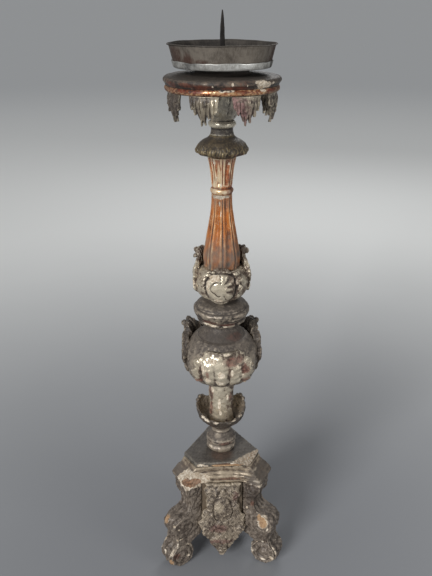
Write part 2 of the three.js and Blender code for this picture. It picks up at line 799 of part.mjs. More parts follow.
// One of the hanging leaves under the rim of the disc.
function valanceLeafBody() {
  const drop = valance.length;
  return leaf({
    spine: [
      [valance.topRadius, 0],
      [valance.topRadius + 0.4, -drop * 0.25],
      [valance.topRadius - 1, -drop * 0.5],
      [valance.topRadius - 3.5, -drop * 0.75],
      [valance.tipRadius, -drop],
    ],
    halfWidths: [1, 1.02, 0.85, 0.62, 0.42, 0.1].map((share) => share * valance.halfWidth),
    depths: [1, 1, 0.9, 0.75, 0.6].map((share) => share * valance.thickness),
    rib: 1.2,
    notches: 3,
    across: 4,
    lengthwise: 8,
  }).trimByPlane([0, 0, -1], 0);
}

// Corners of a square bar with its edges taken off.
function squarePlan(width) {
  const [half, cut] = [width / 2, (pricket.chamfer * width) / pricket.width];
  const corners = [[1, -1], [1, 1], [-1, 1], [-1, -1]];
  return corners.flatMap(([x, y]) => {
    const first = x === y ? [x * half, y * (half - cut)] : [x * (half - cut), y * half];
    const second = x === y ? [x * (half - cut), y * half] : [x * half, y * (half - cut)];
    return [first, second];
  });
}

function pricketBody() {
  return lofted([
    { plan: squarePlan(pricket.width * pricket.tangShare), z: -pricket.tang },
    { plan: squarePlan(pricket.width), z: -pricket.tang * 0.5 },
    { plan: squarePlan(pricket.width), z: pan.sheet + 2 },
    { plan: squarePlan(pricket.width * 0.8), z: pricket.height * 0.65 },
    { plan: squarePlan(pricket.tipWidth), z: pricket.height },
  ]);
}

// The sheet-iron wall of the pan with its turned-out rim.
function panWallBody() {
  const lip = pan.rim - pan.top;
  const profile = [
    [pan.bottom - pan.sheet, 0],
    [pan.bottom, 0],
    [pan.top, pan.height - lip],
    [pan.rim, pan.height - pan.sheet],
    [pan.rim, pan.height],
    [pan.rim - pan.sheet, pan.height],
    [pan.top - pan.sheet, pan.height - lip + pan.sheet / 2],
    [pan.bottom - pan.sheet, 0],
  ];
  return turned(profile, roundSides);
}

// The floor inside the wall, with a square hole for the pricket.
function panFloorBody() {
  const edge = pan.bottom - pan.sheet - clearance;
  const half = pricket.width / 2 + pan.holeGap;
  const square = [[-half, -half], [half, -half], [half, half], [-half, half]];
  const hole = lofted([{ plan: square, z: -1 }, { plan: square, z: pan.sheet + 1 }]);
  return turned([[0, 0], [edge, 0], [edge, pan.sheet], [0, pan.sheet]], roundSides).subtract(hole);
}

// The tinned seam strip that is folded under the floor and up round the foot of the wall.
function panSeamBody() {
  const slope = (pan.top - pan.bottom) / (pan.height - (pan.rim - pan.top));
  const inside = pan.bottom + clearance;
  const outside = inside + seam.sheet;
  const under = -clearance - seam.sheet;
  const profile = [
    [inside - seam.under, under],
    [outside - seam.sheet / 2, under],
    [outside, under + seam.sheet / 2],
    [outside + slope * seam.height, seam.height],
    [inside + slope * seam.height, seam.height],
    [inside, -clearance],
    [inside - seam.under, -clearance],
    [inside - seam.under, under],
  ];
  return turned(profile, roundSides);
}

// Finishes
const finish = (color, roughness, metalness) => new THREE.MeshStandardMaterial({ color, roughness, metalness });
const finishes = {
  silvered: () => finish("#a79c8b", 0.5, 0.35),
  varnished: () => finish("#a8561f", 0.42, 0.25),
  dusty: () => finish("#4e4942", 0.85, 0),
  aged: () => finish("#5d5247", 0.75, 0.05),
  tinned: () => finish("#83807a", 0.5, 0.7),
  wrought: () => finish("#252321", 0.7, 0.6),
};

const candlestick = new THREE.Group();

function place(name, body, material, height = 0, turn = 0) {
  const mesh = new THREE.Mesh(geometryOf(body), material);
  mesh.name = name;
  mesh.position.z = height;
  mesh.rotation.z = degrees(turn);
  candlestick.add(mesh);
  return mesh;
}

// Base
for (let k = 0; k < base.sides; k++) {
  const side = (360 * k) / base.sides;
  place(`scroll_leg_${k + 1}`, legBody(), finishes.aged(), 0, side + base.firstLeg - 90);
  place(`cartouche_panel_${k + 1}`, panelBody(), finishes.aged(), 0, side);
}
place("base_core", coreBody(), finishes.dusty());
place("base_cornice", corniceBody(), finishes.aged(), leg.height);
let level = leg.height + cornice.height + cavetto.height;
place("base_cap", capBody(), finishes.dusty(), level);
level += cap.height;

// Stem
place("bell_foot", bellBody(), finishes.silvered(), level);
level += bell.height;
place("leaf_dish", dishBody(), finishes.silvered(), level);
level += dish.floor;
place("stem_column", stemBody(), finishes.silvered(), level);
level += stem.height;
place("vase_knop", section(knopOutline(), { sides: knopSides }), finishes.dusty(), level);
for (let k = 0; k < knopLeaf.count; k++) {
  place(`knop_leaf_${k + 1}`, knopLeafBody(k === 0), finishes.silvered(), level, (360 * k) / knopLeaf.count);
}
level += knop.height;
place("saucer", saucerBody(), finishes.dusty(), level);
level += saucer.height;
place("calyx", calyxBody(), finishes.silvered(), level);
level += calyx.height;
place("lower_shaft", lowerShaftBody(), finishes.varnished(), level);
level += lowerShaft.height;
place("upper_shaft", upperShaftBody(), finishes.varnished(), level);
level += upperShaft.height;
place("leaf_collar", collarBody(), finishes.aged(), level);
level += collar.height;
place("neck_cup", neckCupBody(), finishes.silvered(), level);
level += neckCup.height;

// Top
place("top_disc", discBody(), finishes.dusty(), level);
for (let k = 0; k < valance.count; k++) {
  const turn = (360 * (k + 0.5)) / valance.count;
  place(`valance_leaf_${k + 1}`, valanceLeafBody(), finishes.silvered(), level, turn);
}
level += disc.height + boss.height;
place("pricket_spike", pricketBody(), finishes.wrought(), level);
place("drip_pan_floor", panFloorBody(), finishes.tinned(), level + clearance);
place("drip_pan_wall", panWallBody(), finishes.tinned(), level + clearance);
place("drip_pan_seam", panSeamBody(), finishes.tinned(), level + clearance);

// The back foot reaches further than anything at the front, so the middle of the box is off the stem.
const box = new THREE.Box3().setFromObject(candlestick, true);
const middle = box.getCenter(new THREE.Vector3());
candlestick.position.set(-middle.x, -middle.y, 0);

const model = new THREE.Group();
model.add(candlestick);

export default model;
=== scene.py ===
import math

import bmesh
import bpy
import numpy as np
from mathutils import Matrix, Vector


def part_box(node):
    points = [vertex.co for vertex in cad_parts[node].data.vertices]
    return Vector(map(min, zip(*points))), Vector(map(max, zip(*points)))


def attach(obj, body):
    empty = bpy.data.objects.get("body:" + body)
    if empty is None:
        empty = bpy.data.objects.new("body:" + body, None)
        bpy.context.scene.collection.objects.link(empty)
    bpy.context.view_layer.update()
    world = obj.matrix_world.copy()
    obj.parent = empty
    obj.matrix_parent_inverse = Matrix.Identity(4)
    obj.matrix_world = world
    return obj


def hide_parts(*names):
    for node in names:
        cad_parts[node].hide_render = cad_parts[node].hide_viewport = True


# An old altar candlestick: carved, turned and silvered wood on a three-sided base, with an iron
# pricket and a loose drip pan. Shapes are written in millimetres from the stem's upright axis.

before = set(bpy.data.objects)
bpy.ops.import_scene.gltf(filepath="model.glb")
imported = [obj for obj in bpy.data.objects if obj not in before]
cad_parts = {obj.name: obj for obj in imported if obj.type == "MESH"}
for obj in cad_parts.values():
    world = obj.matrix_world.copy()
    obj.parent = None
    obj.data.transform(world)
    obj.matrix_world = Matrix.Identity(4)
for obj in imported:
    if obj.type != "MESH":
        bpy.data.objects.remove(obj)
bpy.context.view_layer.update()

MM = 0.001
FULL_TURN = 2 * math.pi
low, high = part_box("pricket_spike")
AXIS_Y = (low.y + high.y) / 2

# Heights of the sections above the floor
CORNICE, BELL, DISH, STEM, KNOP = 154, 191.5, 230, 242, 315
SAUCER, CALYX, LOWER_SHAFT, UPPER_SHAFT = 412, 450, 500, 606
COLLAR, NECK, DISC, PAN, TIP = 657, 686, 743, 773.3, 840

# Kinds of mark that a spot of lost or rubbed finish can leave, in the order of the colour channels. Shine
# marks rubbed leaf and also painted highlights, and grime also carries painted shade
MARKS = {"gesso": 0, "bare": 1, "bole": 2, "shine": 3, "grime": 4, "dust": 5}

WAVES = 9  # in each field of random lumps
RUN_STEPS = 400  # along the spine of a leaf
FLAKE_DEPTH = 0.45  # of lost gesso, in millimetres
CLEAR = 0.02  # between the floor or the disc and what stands on it
PAN_SIDES, DISC_SIDES, SHAFT_SIDES = 264, 320, 240


# ---------------------------------------------------------------- numbers and curves


def smooth_run(points, count):
    """A smooth run of points through the given ones."""
    p = np.array(points, float)
    p = np.vstack([2 * p[0] - p[1], p, 2 * p[-1] - p[-2]])
    share = np.linspace(0, len(points) - 1, count)
    i = np.minimum(share.astype(int), len(points) - 2)
    t = (share - i)[:, None]
    a, b, c, d = p[i], p[i + 1], p[i + 2], p[i + 3]
    bend = (2 * a - 5 * b + 4 * c - d) * t**2 + (3 * b - a - 3 * c + d) * t**3
    return [tuple(point) for point in 0.5 * (2 * b + (c - a) * t + bend)]


def arc(centre, radius, start, end, steps=8):
    """A round run of points, from one angle to another in degrees."""
    angles = np.radians(np.linspace(start, end, steps + 1))
    return [(centre[0] + radius * math.cos(a), centre[1] + radius * math.sin(a)) for a in angles]


def step(value, start, end):
    """0 below start and 1 above end, smooth between them."""
    t = np.clip((value - start) / (end - start), 0, 1)
    return t * t * (3 - 2 * t)


def hump(value, centre, width):
    """1 at the centre, and next to nothing two widths away from it."""
    return np.exp(-(((value - centre) / width) ** 2))


def waves(value):
    """Even rounded ridges, one for each whole number, from 0 to 1."""
    return 0.5 + 0.5 * np.cos(FULL_TURN * value)


def lumps(points, size, seed):
    """Smooth random heights, about -1 to 1, over points in millimetres."""
    draw = np.random.default_rng(seed)
    total = np.zeros(len(points))
    for _ in range(WAVES):
        direction = draw.normal(size=3)
        direction *= FULL_TURN / size * draw.uniform(0.6, 1.5) / np.linalg.norm(direction)
        total += np.sin(points @ direction + draw.uniform(0, FULL_TURN))
    return total / 4


def strayed(points, amount, size, seed):
    """Points pushed about a little, so that a pattern laid over them isn't too regular."""
    return points + amount * np.stack([lumps(points, size, seed + k) for k in range(3)], 1)


# ---------------------------------------------------------------- mesh tools


def vectors(data, field):
    values = np.empty(len(data) * 3)
    data.foreach_get(field, values)
    return values.reshape(-1, 3)


def positions(mesh):
    return vectors(mesh.vertices, "co") / MM


def normals(mesh):
    return vectors(mesh.vertex_normals, "vector")


def set_positions(mesh, points):
    mesh.vertices.foreach_set("co", (points * MM).ravel())
    mesh.update()


def around(points):
    """Angle from the front towards the right, and distance from the axis."""
    return np.arctan2(points[:, 0], -points[:, 1]), np.hypot(points[:, 0], points[:, 1])


def about_axis(angle, radius, height):
    """Points from their angles, distances from the axis and heights."""
    return np.stack([radius * np.sin(angle), -radius * np.cos(angle), height], 1)


def on_axis(radius, degrees, height):
    """A point at an angle from the front, towards the right."""
    a = math.radians(degrees)
    return (radius * math.sin(a), -radius * math.cos(a), height)


def as_mesh(bm):
    mesh = bpy.data.meshes.new("work")
    bm.to_mesh(mesh)
    bm.free()
    return mesh


def as_bmesh(mesh):
    bm = bmesh.new()
    bm.from_mesh(mesh)
    return bm


def mesh_from(bm):
    """A mesh of a bmesh, with doubles merged and faces turned outwards."""
    bmesh.ops.remove_doubles(bm, verts=bm.verts, dist=1e-7)
    bmesh.ops.recalc_face_normals(bm, faces=bm.faces)
    if bm.calc_volume(signed=True) < 0:
        bmesh.ops.reverse_faces(bm, faces=bm.faces)
    return as_mesh(bm)


def turned(profile, sides, spacing=1.2, change=None, ring=False):
    """A lathe-turned shape from (radius, height) corners, carved by change where one is given. A
    ring's profile closes on itself."""
    bm = bmesh.new()
    corners = list(profile) + ([profile[0]] if ring else [])
    run = [corners[0]]
    for (r0, z0), (r1, z1) in zip(corners, corners[1:]):
        pieces = max(1, round(math.hypot(r1 - r0, z1 - z0) / spacing))
        run += [(r0 + (r1 - r0) * k / pieces, z0 + (z1 - z0) * k / pieces) for k in range(1, pieces + 1)]
    verts = [bm.verts.new((0, -r * MM, z * MM)) for r, z in run]
    edges = [bm.edges.new(pair) for pair in zip(verts, verts[1:])]
    bmesh.ops.spin(
        bm, geom=verts + edges, cent=(0, 0, 0), axis=(0, 0, 1), dvec=(0, 0, 0), angle=FULL_TURN,
        space=Matrix(), steps=sides, use_merge=True, use_normal_flip=False, use_duplicate=False,
    )
    mesh = mesh_from(bm)
    if change:
        carve(mesh, change)
    return mesh


def carve(mesh, change):
    """Moves points on a turned shape. change(angle, radius, height, points) gives the new radius
    and height. Angles run from the front towards the right."""
    points = positions(mesh)
    angle, radius = around(points)
    radius, height = change(angle, radius, points[:, 2], points)
    set_positions(mesh, about_axis(angle, radius, height))


def emboss(mesh, depth):
    """Moves points along their normals. depth(points, normals) is in millimetres."""
    points, outward = positions(mesh), normals(mesh)
    set_positions(mesh, points + outward * depth(points, outward)[:, None])


def plate(across, along):
    """Two grids joined round their edges, with side from -1 to 1 across and v from 0 to 1 along."""
    bm = bmesh.new()
    for height in (0, -1):
        matrix = Matrix.Translation((0, 0, height))
        bmesh.ops.create_grid(bm, x_segments=across, y_segments=along, size=1, matrix=matrix)
    bmesh.ops.bridge_loops(bm, edges=[edge for edge in bm.edges if edge.is_boundary])
    mesh = as_mesh(bm)
    points = positions(mesh) * MM
    return mesh, points[:, 0], (points[:, 1] + 1) / 2, points[:, 2] < -0.5


def settled(mesh):
    """The same mesh with its faces turned outwards."""
    bm = as_bmesh(mesh)
    bmesh.ops.recalc_face_normals(bm, faces=bm.faces)
    return as_mesh(bm)


def leaf(spine, half_widths, thickness, relief, outline, across, along):
    """A carved leaf that wraps the axis at the front. spine is a run of (radius, height) from root
    to tip, and relief(side, v) and outline(side, v) shape its face and its edge."""
    mesh, side, v, back = plate(across, along)
    run = np.array(smooth_run(spine, RUN_STEPS))
    slope = np.gradient(run, axis=0)
    slope /= np.linalg.norm(slope, axis=1)[:, None]

    def along_run(values, share):
        return np.interp(share * (len(values) - 1), np.arange(len(values)), values)

    place = np.clip(v, 0, 1)
    radius, height = along_run(run[:, 0], place), along_run(run[:, 1], place)
    lift = relief(side, v) - np.where(back, along_run(thickness, v), 0)
    angle = side * along_run(half_widths, v) * outline(side, v) / radius
    radius = radius + along_run(slope[:, 1], place) * lift
    height = height - along_run(slope[:, 0], place) * lift
    set_positions(mesh, about_axis(angle, radius, height))
    return settled(mesh)


def ball(bm, centre, sizes, tilt=0.0, turn=0.0):
    """A rounded lump for joining into a carved shape."""
    matrix = (
        Matrix.Translation(Vector(centre) * MM)
        @ Matrix.Rotation(turn, 4, "Z")
        @ Matrix.Rotation(tilt, 4, "X")
        @ Matrix.Diagonal(Vector((*sizes, 1)) * MM + Vector((0, 0, 0, 1 - MM)))
    )
    bmesh.ops.create_uvsphere(bm, u_segments=24, v_segments=14, radius=1, matrix=matrix)


def modified(mesh, **modifiers):
    """A mesh after modifiers, each named by its kind, with its settings."""
    block = bpy.data.objects.new("block", mesh)
    bpy.context.scene.collection.objects.link(block)
    for kind, settings in modifiers.items():
        modifier = block.modifiers.new(kind, kind)
        for key, value in settings.items():
            setattr(modifier, key, value)
    depsgraph = bpy.context.evaluated_depsgraph_get()
    result = bpy.data.meshes.new_from_object(block.evaluated_get(depsgraph), depsgraph=depsgraph)
    bpy.data.objects.remove(block)
    return result


def fused(mesh, voxel, rounds):
    """One even skin over all the closed shapes of a mesh."""
    skin = {"mode": "VOXEL", "voxel_size": voxel * MM}
    return modified(mesh, REMESH=skin, SMOOTH={"factor": 0.5, "iterations": rounds})


def copy_of(node):
    """A merged copy of a node's mesh, in millimetres from the axis."""
    bm = as_bmesh(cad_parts[node].data)
    bmesh.ops.translate(bm, verts=bm.verts, vec=(0, -AXIS_Y, 0))
    bmesh.ops.remove_doubles(bm, verts=bm.verts, dist=1e-6)
    return as_mesh(bm)


def store(mesh, name, values):
    """Keeps a number for each point, for the finishes to read."""
    mesh.attributes.new(name, "FLOAT", "POINT").data.foreach_set("value", values)


def write_relief(mesh, rounds, depth):
    """Stores how far each point stands over or under the shape around it, from -1 to 1."""
    eased = modified(mesh, SMOOTH={"factor": 0.6, "iterations": rounds})
    rise_over = ((positions(mesh) - positions(eased)) * normals(mesh)).sum(1) / depth
    bpy.data.meshes.remove(eased)
    store(mesh, "relief", np.clip(rise_over, -1, 1))


def mark_strengths(points, level, spots):
    """How strongly each kind of mark holds at each point. spots lists places for each kind: x, y,
    height over the level, half size across and half size up."""
    strength = np.zeros((len(points), len(MARKS)))
    for kind, places in spots.items():
        channel = MARKS[kind]
        for x, y, z, across, up in places:
            aside = np.hypot(points[:, 0] - x, points[:, 1] - y) / across
            reach = np.hypot(aside, (points[:, 2] - (level + z)) / up)
            strength[:, channel] = np.maximum(strength[:, channel], np.clip(1.5 - reach, 0, 1))
    return strength


def piece(name, mesh, finish, slot, node, level=0, turn=0.0, rounds=24, depth=0.4, **kinds):
    """Puts a finished mesh in its place on the candlestick or the pan, marked with its spots and with
    the strengths of the kinds of mark that were worked out point by point."""
    mesh.name = name
    points = positions(mesh)
    points[:, 2] += level
    if turn:
        a = math.radians(turn)
        x, y = points[:, 0].copy(), points[:, 1].copy()
        points[:, 0], points[:, 1] = x * math.cos(a) - y * math.sin(a), x * math.sin(a) + y * math.cos(a)
    set_positions(mesh, points)
    strength = mark_strengths(points, level, SPOTS.get(name, {}))
    for kind, values in kinds.items():
        strength[:, MARKS[kind]] = np.maximum(strength[:, MARKS[kind]], values)
    lost = strength[:, MARKS["gesso"]] + strength[:, MARKS["bare"]]
    if lost.any():
        flake = step(lost + 0.3 * lumps(points, 4, 5), 0.45, 0.6)
        set_positions(mesh, points - normals(mesh) * FLAKE_DEPTH * flake[:, None])
        points = positions(mesh)
    marks = mesh.attributes.new("marks", "FLOAT_COLOR", "POINT")
    marks.data.foreach_set("color", strength[:, :4].ravel())
    for kind in ("grime", "dust"):
        store(mesh, kind, strength[:, MARKS[kind]])
    write_relief(mesh, rounds, depth)
    points[:, 1] += AXIS_Y / MM
    set_positions(mesh, points)
    mesh.polygons.foreach_set("use_smooth", np.ones(len(mesh.polygons), bool))
    mesh.materials.clear()
    mesh.materials.append(FINISHES[finish])
    mesh.update()
    obj = bpy.data.objects.new(name, mesh)
    bpy.context.scene.collection.objects.link(obj)
    body = "drip_pan" if name.startswith("drip_pan") else "candlestick"
    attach(obj, body)
    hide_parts(node)


# ---------------------------------------------------------------- shader helpers


def colour(code):
    """Linear colour from a written one."""
    values = [int(code[i : i + 2], 16) / 255 for i in (1, 3, 5)]
    return (*[v / 12.92 if v <= 0.04045 else ((v + 0.055) / 1.055) ** 2.4 for v in values], 1)


class Flow:
    """A number or colour on its way through a node tree. Plain arithmetic on it adds Math nodes."""

    def __init__(self, tree, socket):
        self.tree, self.socket = tree, socket

    def __add__(self, other):
        return calc("ADD", self, other)

    def __mul__(self, other):
        return calc("MULTIPLY", self, other)

    def __sub__(self, other):
        return calc("SUBTRACT", self, other)

    def __rsub__(self, other):
        return calc("SUBTRACT", other, self)


def fill(tree, sockets, values):
    """Sets sockets by name or number, or links what flows into them."""
    for key, value in values.items():
        if isinstance(value, Flow):
            tree.links.new(value.socket, sockets[key])
        else:
            sockets[key].default_value = value


def put(tree, kind, inputs=None, out=0, **settings):
    """Adds a node, and gives what flows out of it."""
    node = tree.nodes.new("ShaderNode" + kind)
    for key, value in settings.items():
        setattr(node, key, value)
    fill(tree, node.inputs, inputs or {})
    return Flow(tree, node.outputs[out])


def calc(operation, *values):
    tree = next(value.tree for value in values if isinstance(value, Flow))
    return put(tree, "Math", dict(enumerate(values)), operation=operation)


def blend(share, a, b):
    """Mixes two colours."""
    return put(share.tree, "Mix", {0: share, 6: a, 7: b}, 2, data_type="RGBA")


def between(share, a, b):
    """Mixes two numbers."""
    return put(share.tree, "Mix", {0: share, 2: a, 3: b}, data_type="FLOAT")


def rise(value, start, end):
    """0 below start, 1 above end."""
    inputs = {"Value": value, "From Min": start, "From Max": end}
    return put(value.tree, "MapRange", inputs, interpolation_type="SMOOTHSTEP")


def clamped(value):
    return put(value.tree, "Clamp", {0: value})


def stored(tree, name, out="Fac"):
    """What a mesh keeps for each point under a name."""
    return put(tree, "Attribute", None, out, attribute_name=name)


def parts(value, kind):
    """The three parts of a colour or of a direction."""
    first = put(value.tree, kind, {0: value})
    return [Flow(value.tree, socket) for socket in first.socket.node.outputs]


def speckle(tree, scale, detail=4.0, roughness=0.55, distortion=0.0, stretch=None):
    """Noise over the object's own coordinates. Scale is in features per metre."""
    coords = put(tree, "TexCoord", None, "Object")
    if stretch:
        coords = put(tree, "Mapping", {"Vector": coords, "Scale": stretch})
    inputs = {
        "Vector": coords, "Scale": scale, "Detail": detail, "Roughness": roughness, "Distortion": distortion,
    }
    return put(tree, "TexNoise", inputs, "Fac")


LOOK = ["Color", "Roughness", "Metallic", "Height"]


def new_group(name, colours, numbers, gives=LOOK):
    """A node group with named inputs and outputs, of which Color is a colour. Gives the tree, what
    flows in and the sockets to fill."""
    tree = bpy.data.node_groups.new(name, "ShaderNodeTree")
    for way, labels in (("INPUT", colours + numbers), ("OUTPUT", gives)):
        for label in labels:
            kind = "NodeSocketColor" if label in colours + ["Color"] else "NodeSocketFloat"
            tree.interface.new_socket(label, in_out=way, socket_type=kind)
    entry = tree.nodes.new("NodeGroupInput").outputs
    leave = tree.nodes.new("NodeGroupOutput").inputs
    return tree, {label: Flow(tree, entry[label]) for label in colours + numbers}, leave


def use(tree, group, **values):
    """Places a group in a material or in another group, sets its inputs and gives what flows out."""
    node = tree.nodes.new("ShaderNodeGroup")
    node.node_tree = group
    fill(tree, node.inputs, {label.replace("_", " "): value for label, value in values.items()})
    return {socket.name: Flow(tree, socket) for socket in node.outputs}


# ---------------------------------------------------------------- what the finishes are made of


def make_edge_wear():
    """Masks of raised edges and of hollows, from the relief stored on the mesh."""
    tree, _, leave = new_group("edge_wear", [], [], ["Raised", "Hollow"])
    relief = stored(tree, "relief")
    torn = speckle(tree, 300, 6, 0.7) * 1.1 - 0.55
    raised = rise(relief + torn, 0.1, 0.85)
    hollow = rise(torn * 0.4 - relief, 0.05, 0.95)
    fill(tree, leave, {"Raised": raised, "Hollow": hollow})
    return tree


def make_wood_grain():
    """Long grain of limewood, dark and light, with its height."""
    tree, entry, leave = new_group("wood_grain", ["Light", "Dark"], [], ["Color", "Height"])
    broad = speckle(tree, 60, 3, 0.5, 0.6, (1, 1, 0.12))
    fine = speckle(tree, 900, 4, 0.7, 0.2, (1, 1, 0.05))
    share = rise(fine * 0.6 + broad * 0.5, 0.35, 0.75)
    fill(tree, leave, {"Color": blend(share, entry["Dark"], entry["Light"]), "Height": fine})
    return tree


def make_old_finish(edge_wear):
    """Worn metal leaf or varnish: pale where it is whole and where it is rubbed, which also paints
    highlights; brown and dull where grime lies and where shade is painted.
    """
    tree, entry, leave = new_group(
        "old_finish", ["Bright", "Middle", "Dark", "Worn"], ["Bright Share", "Shine", "Gloss", "Streak"]
    )
    wear = use(tree, edge_wear)
    rubbed_and_highlit, grime = stored(tree, "marks", "Alpha"), stored(tree, "grime")
    clouds = speckle(tree, 30, 4, 0.6, 0.3)
    spots = speckle(tree, 170, 6, 0.72, 0.6)
    runs = speckle(tree, 150, 6, 0.72, 0.4, (1, 1, 0.14))
    pits = speckle(tree, 700, 5, 0.7)
    flecks = between(entry["Streak"], spots, runs)

    # How bright the leaf is here: clouds and flecks, pushed by wear, by rubbing and painted highlights, and
    # by grime and painted shade
    value = flecks * 0.62 + clouds * 0.38 + wear["Raised"] * 0.13 - wear["Hollow"] * 0.18
    value = value + rubbed_and_highlit * 0.22 - grime * 0.3
    bright = rise(value + entry["Bright Share"], 0.9, 1.1)

    # Its colour: brown under the leaf, dark pits, pale scratches and rubbed edges with painted highlights,
    # grime in hollows, and painted shade where it is marked
    tint = blend(rise(pits * 0.35 + flecks * 0.65, 0.38, 0.6), entry["Dark"], entry["Middle"])
    tint = blend(bright * 0.92, tint, entry["Bright"])
    tint = blend(rise(pits, 0.56, 0.67) * (rubbed_and_highlit * -0.4 + 0.45), tint, entry["Dark"])
    vein = calc("ABSOLUTE", speckle(tree, 75, 3, 0.6, 1.4) - 0.5)
    tint = blend((1 - rise(vein, 0.003, 0.012)) * 0.4, tint, entry["Worn"])
    edge = calc("MAXIMUM", wear["Raised"] * rise(flecks, 0.4, 0.6), rubbed_and_highlit * rise(flecks, 0.36, 0.58))
    tint = blend(edge * 0.75, tint, entry["Worn"])
    darkened = clamped(wear["Hollow"] * 0.6 + grime * 0.55)
    dirt_and_shade_tone = put(tree, "Mix", {0: 0.6, 6: entry["Dark"], 7: (0.014, 0.010, 0.008, 1)}, 2, data_type="RGBA")
    tint = blend(darkened, tint, dirt_and_shade_tone)

    clean = bright * (1 - darkened)
    rough = between(clean, between(darkened, 0.5, 0.75), entry["Gloss"])
    rough = (pits - 0.5) * 0.25 + rough - rubbed_and_highlit * 0.05
    height = (bright * 0.2 + pits * 0.35 + flecks) * (rubbed_and_highlit * -0.75 + 1.0)
    look = {"Color": tint, "Roughness": rough, "Metallic": clean * entry["Shine"], "Height": height}
    fill(tree, leave, look)
    return tree


def make_losses(edge_wear, wood_grain):
    """Where the finish has flaked: red bole first, then white gesso, then bare wood."""
    numbers = ["Roughness", "Metallic", "Height", "Bole Share", "Chip Share"]
    tree, entry, leave = new_group("losses", ["Color", "Bole"], numbers)
    raised = use(tree, edge_wear)["Raised"]
    marks = parts(stored(tree, "marks", "Color"), "SeparateColor")
    torn = speckle(tree, 330, 6, 0.72, 0.6) * 1.3 - 0.65
    patches = speckle(tree, 26, 4, 0.55, 0.8)
    crumbs = speckle(tree, 170, 6, 0.75, 1.0)

    def mask(kind, softness):
        return rise(marks[MARKS[kind]] + torn, 0.48 - softness, 0.52 + softness)

    red = mask("bole", 0.3)
    bole = rise(crumbs * 0.5 + patches * 0.5 + raised * 0.08 + entry["Bole Share"], 0.88, 1.1)
    bole = calc("MAXIMUM", bole, red) * 0.8
    chip = rise(raised * 0.25 + crumbs * 0.75 + patches * 0.15 + entry["Chip Share"], 1.0, 1.05)
    gesso = calc("MAXIMUM", chip, mask("gesso", 0.08))
    bare = mask("bare", 0.1)
    lost = calc("MAXIMUM", gesso, bare)

    wood = use(tree, wood_grain, Light=colour("#ccab83"), Dark=colour("#86654a"))["Color"]
    chalk = blend(rise(crumbs, 0.35, 0.68), colour("#a8947b"), colour("#f3e8d5"))
    clay = blend(rise(crumbs, 0.35, 0.65), colour("#2e1a13"), entry["Bole"])
    tint = blend(gesso, blend(bole, entry["Color"], clay), chalk)
    tint = blend(bare, tint, blend(red * 0.65, wood, entry["Bole"]))
    rough = between(lost, between(bole, entry["Roughness"], 0.5), 0.85)
    metallic = entry["Metallic"] * (1 - calc("MAXIMUM", lost, bole))
    height = entry["Height"] - bole * 0.25 - lost * 0.9 + lost * crumbs * 0.8
    fill(tree, leave, {"Color": tint, "Roughness": rough, "Metallic": metallic, "Height": height})
    return tree


def make_dust(edge_wear):
    """Grey dust on what faces up, thicker in the hollows."""
    numbers = ["Roughness", "Metallic", "Amount"]
    tree, entry, leave = new_group("settled_dust", ["Color", "Dust"], numbers, LOOK[:3])
    hollow = use(tree, edge_wear)["Hollow"]
    up = parts(put(tree, "NewGeometry", None, "Normal"), "SeparateXYZ")[2]
    drift = speckle(tree, 55, 5, 0.6)
    lie = rise(drift * 0.5 + up, 0.35, 1.15) + hollow * rise(up, -0.3, 0.4) * 0.35
    laid = stored(tree, "dust") * 0.8 * rise(drift, 0.05, 0.42)
    share = clamped(calc("MAXIMUM", lie * entry["Amount"], laid))
    rough = between(share, entry["Roughness"], 0.92)
    tint = blend(share, entry["Color"], entry["Dust"])
    fill(tree, leave, {"Color": tint, "Roughness": rough, "Metallic": entry["Metallic"] * (1 - share)})
    return tree


def make_old_iron(edge_wear):
    """Sheet or forged iron: mottled metal that rust and soot have crept over, darkened too where shade is
    painted.
    """
    tree, entry, leave = new_group("old_iron", ["Metal", "Stain", "Rust"], ["Rust Share", "Gloss"])
    wear = use(tree, edge_wear)
    reddened = parts(stored(tree, "marks", "Color"), "SeparateColor")[MARKS["bole"]]
    soot_and_shade = stored(tree, "grime")
    clouds = speckle(tree, 30, 6, 0.62, 0.8)
    scuffs = speckle(tree, 420, 6, 0.72, 0.2, (1, 1, 0.35))
    bloom = speckle(tree, 150, 6, 0.7, 0.5)
    stain = rise(scuffs * 0.45 + clouds * 0.55, 0.38, 0.64)
    rust = bloom * 0.5 + clouds * 0.5 + entry["Rust Share"] + wear["Hollow"] * 0.12 + reddened * 0.24
    rust = rise(rust, 0.84, 1.16)
    tint = blend(stain, entry["Metal"], entry["Stain"])
    tint = blend(wear["Raised"] * 0.5, tint, entry["Metal"])
    tint = blend(rust, tint, blend(bloom, entry["Rust"], colour("#2c1a12")))
    # Soot and painted shade darken the metal and take away its shine
    tint = blend(soot_and_shade * between(stain, 0.78, 0.95), tint, colour("#1c1917"))
    metallic = (1 - rust) * between(stain, 0.85, 0.6) * (soot_and_shade * -0.95 + 1.0)
    rough = between(stain, entry["Gloss"], entry["Gloss"] + 0.18)
    rough = between(calc("MAXIMUM", rust, soot_and_shade), rough, 0.85)
    height = rust * 0.6 + scuffs * 0.25 + bloom
    fill(tree, leave, {"Color": tint, "Roughness": rough, "Metallic": metallic, "Height": height})
    return tree


# ---------------------------------------------------------------- the finishes

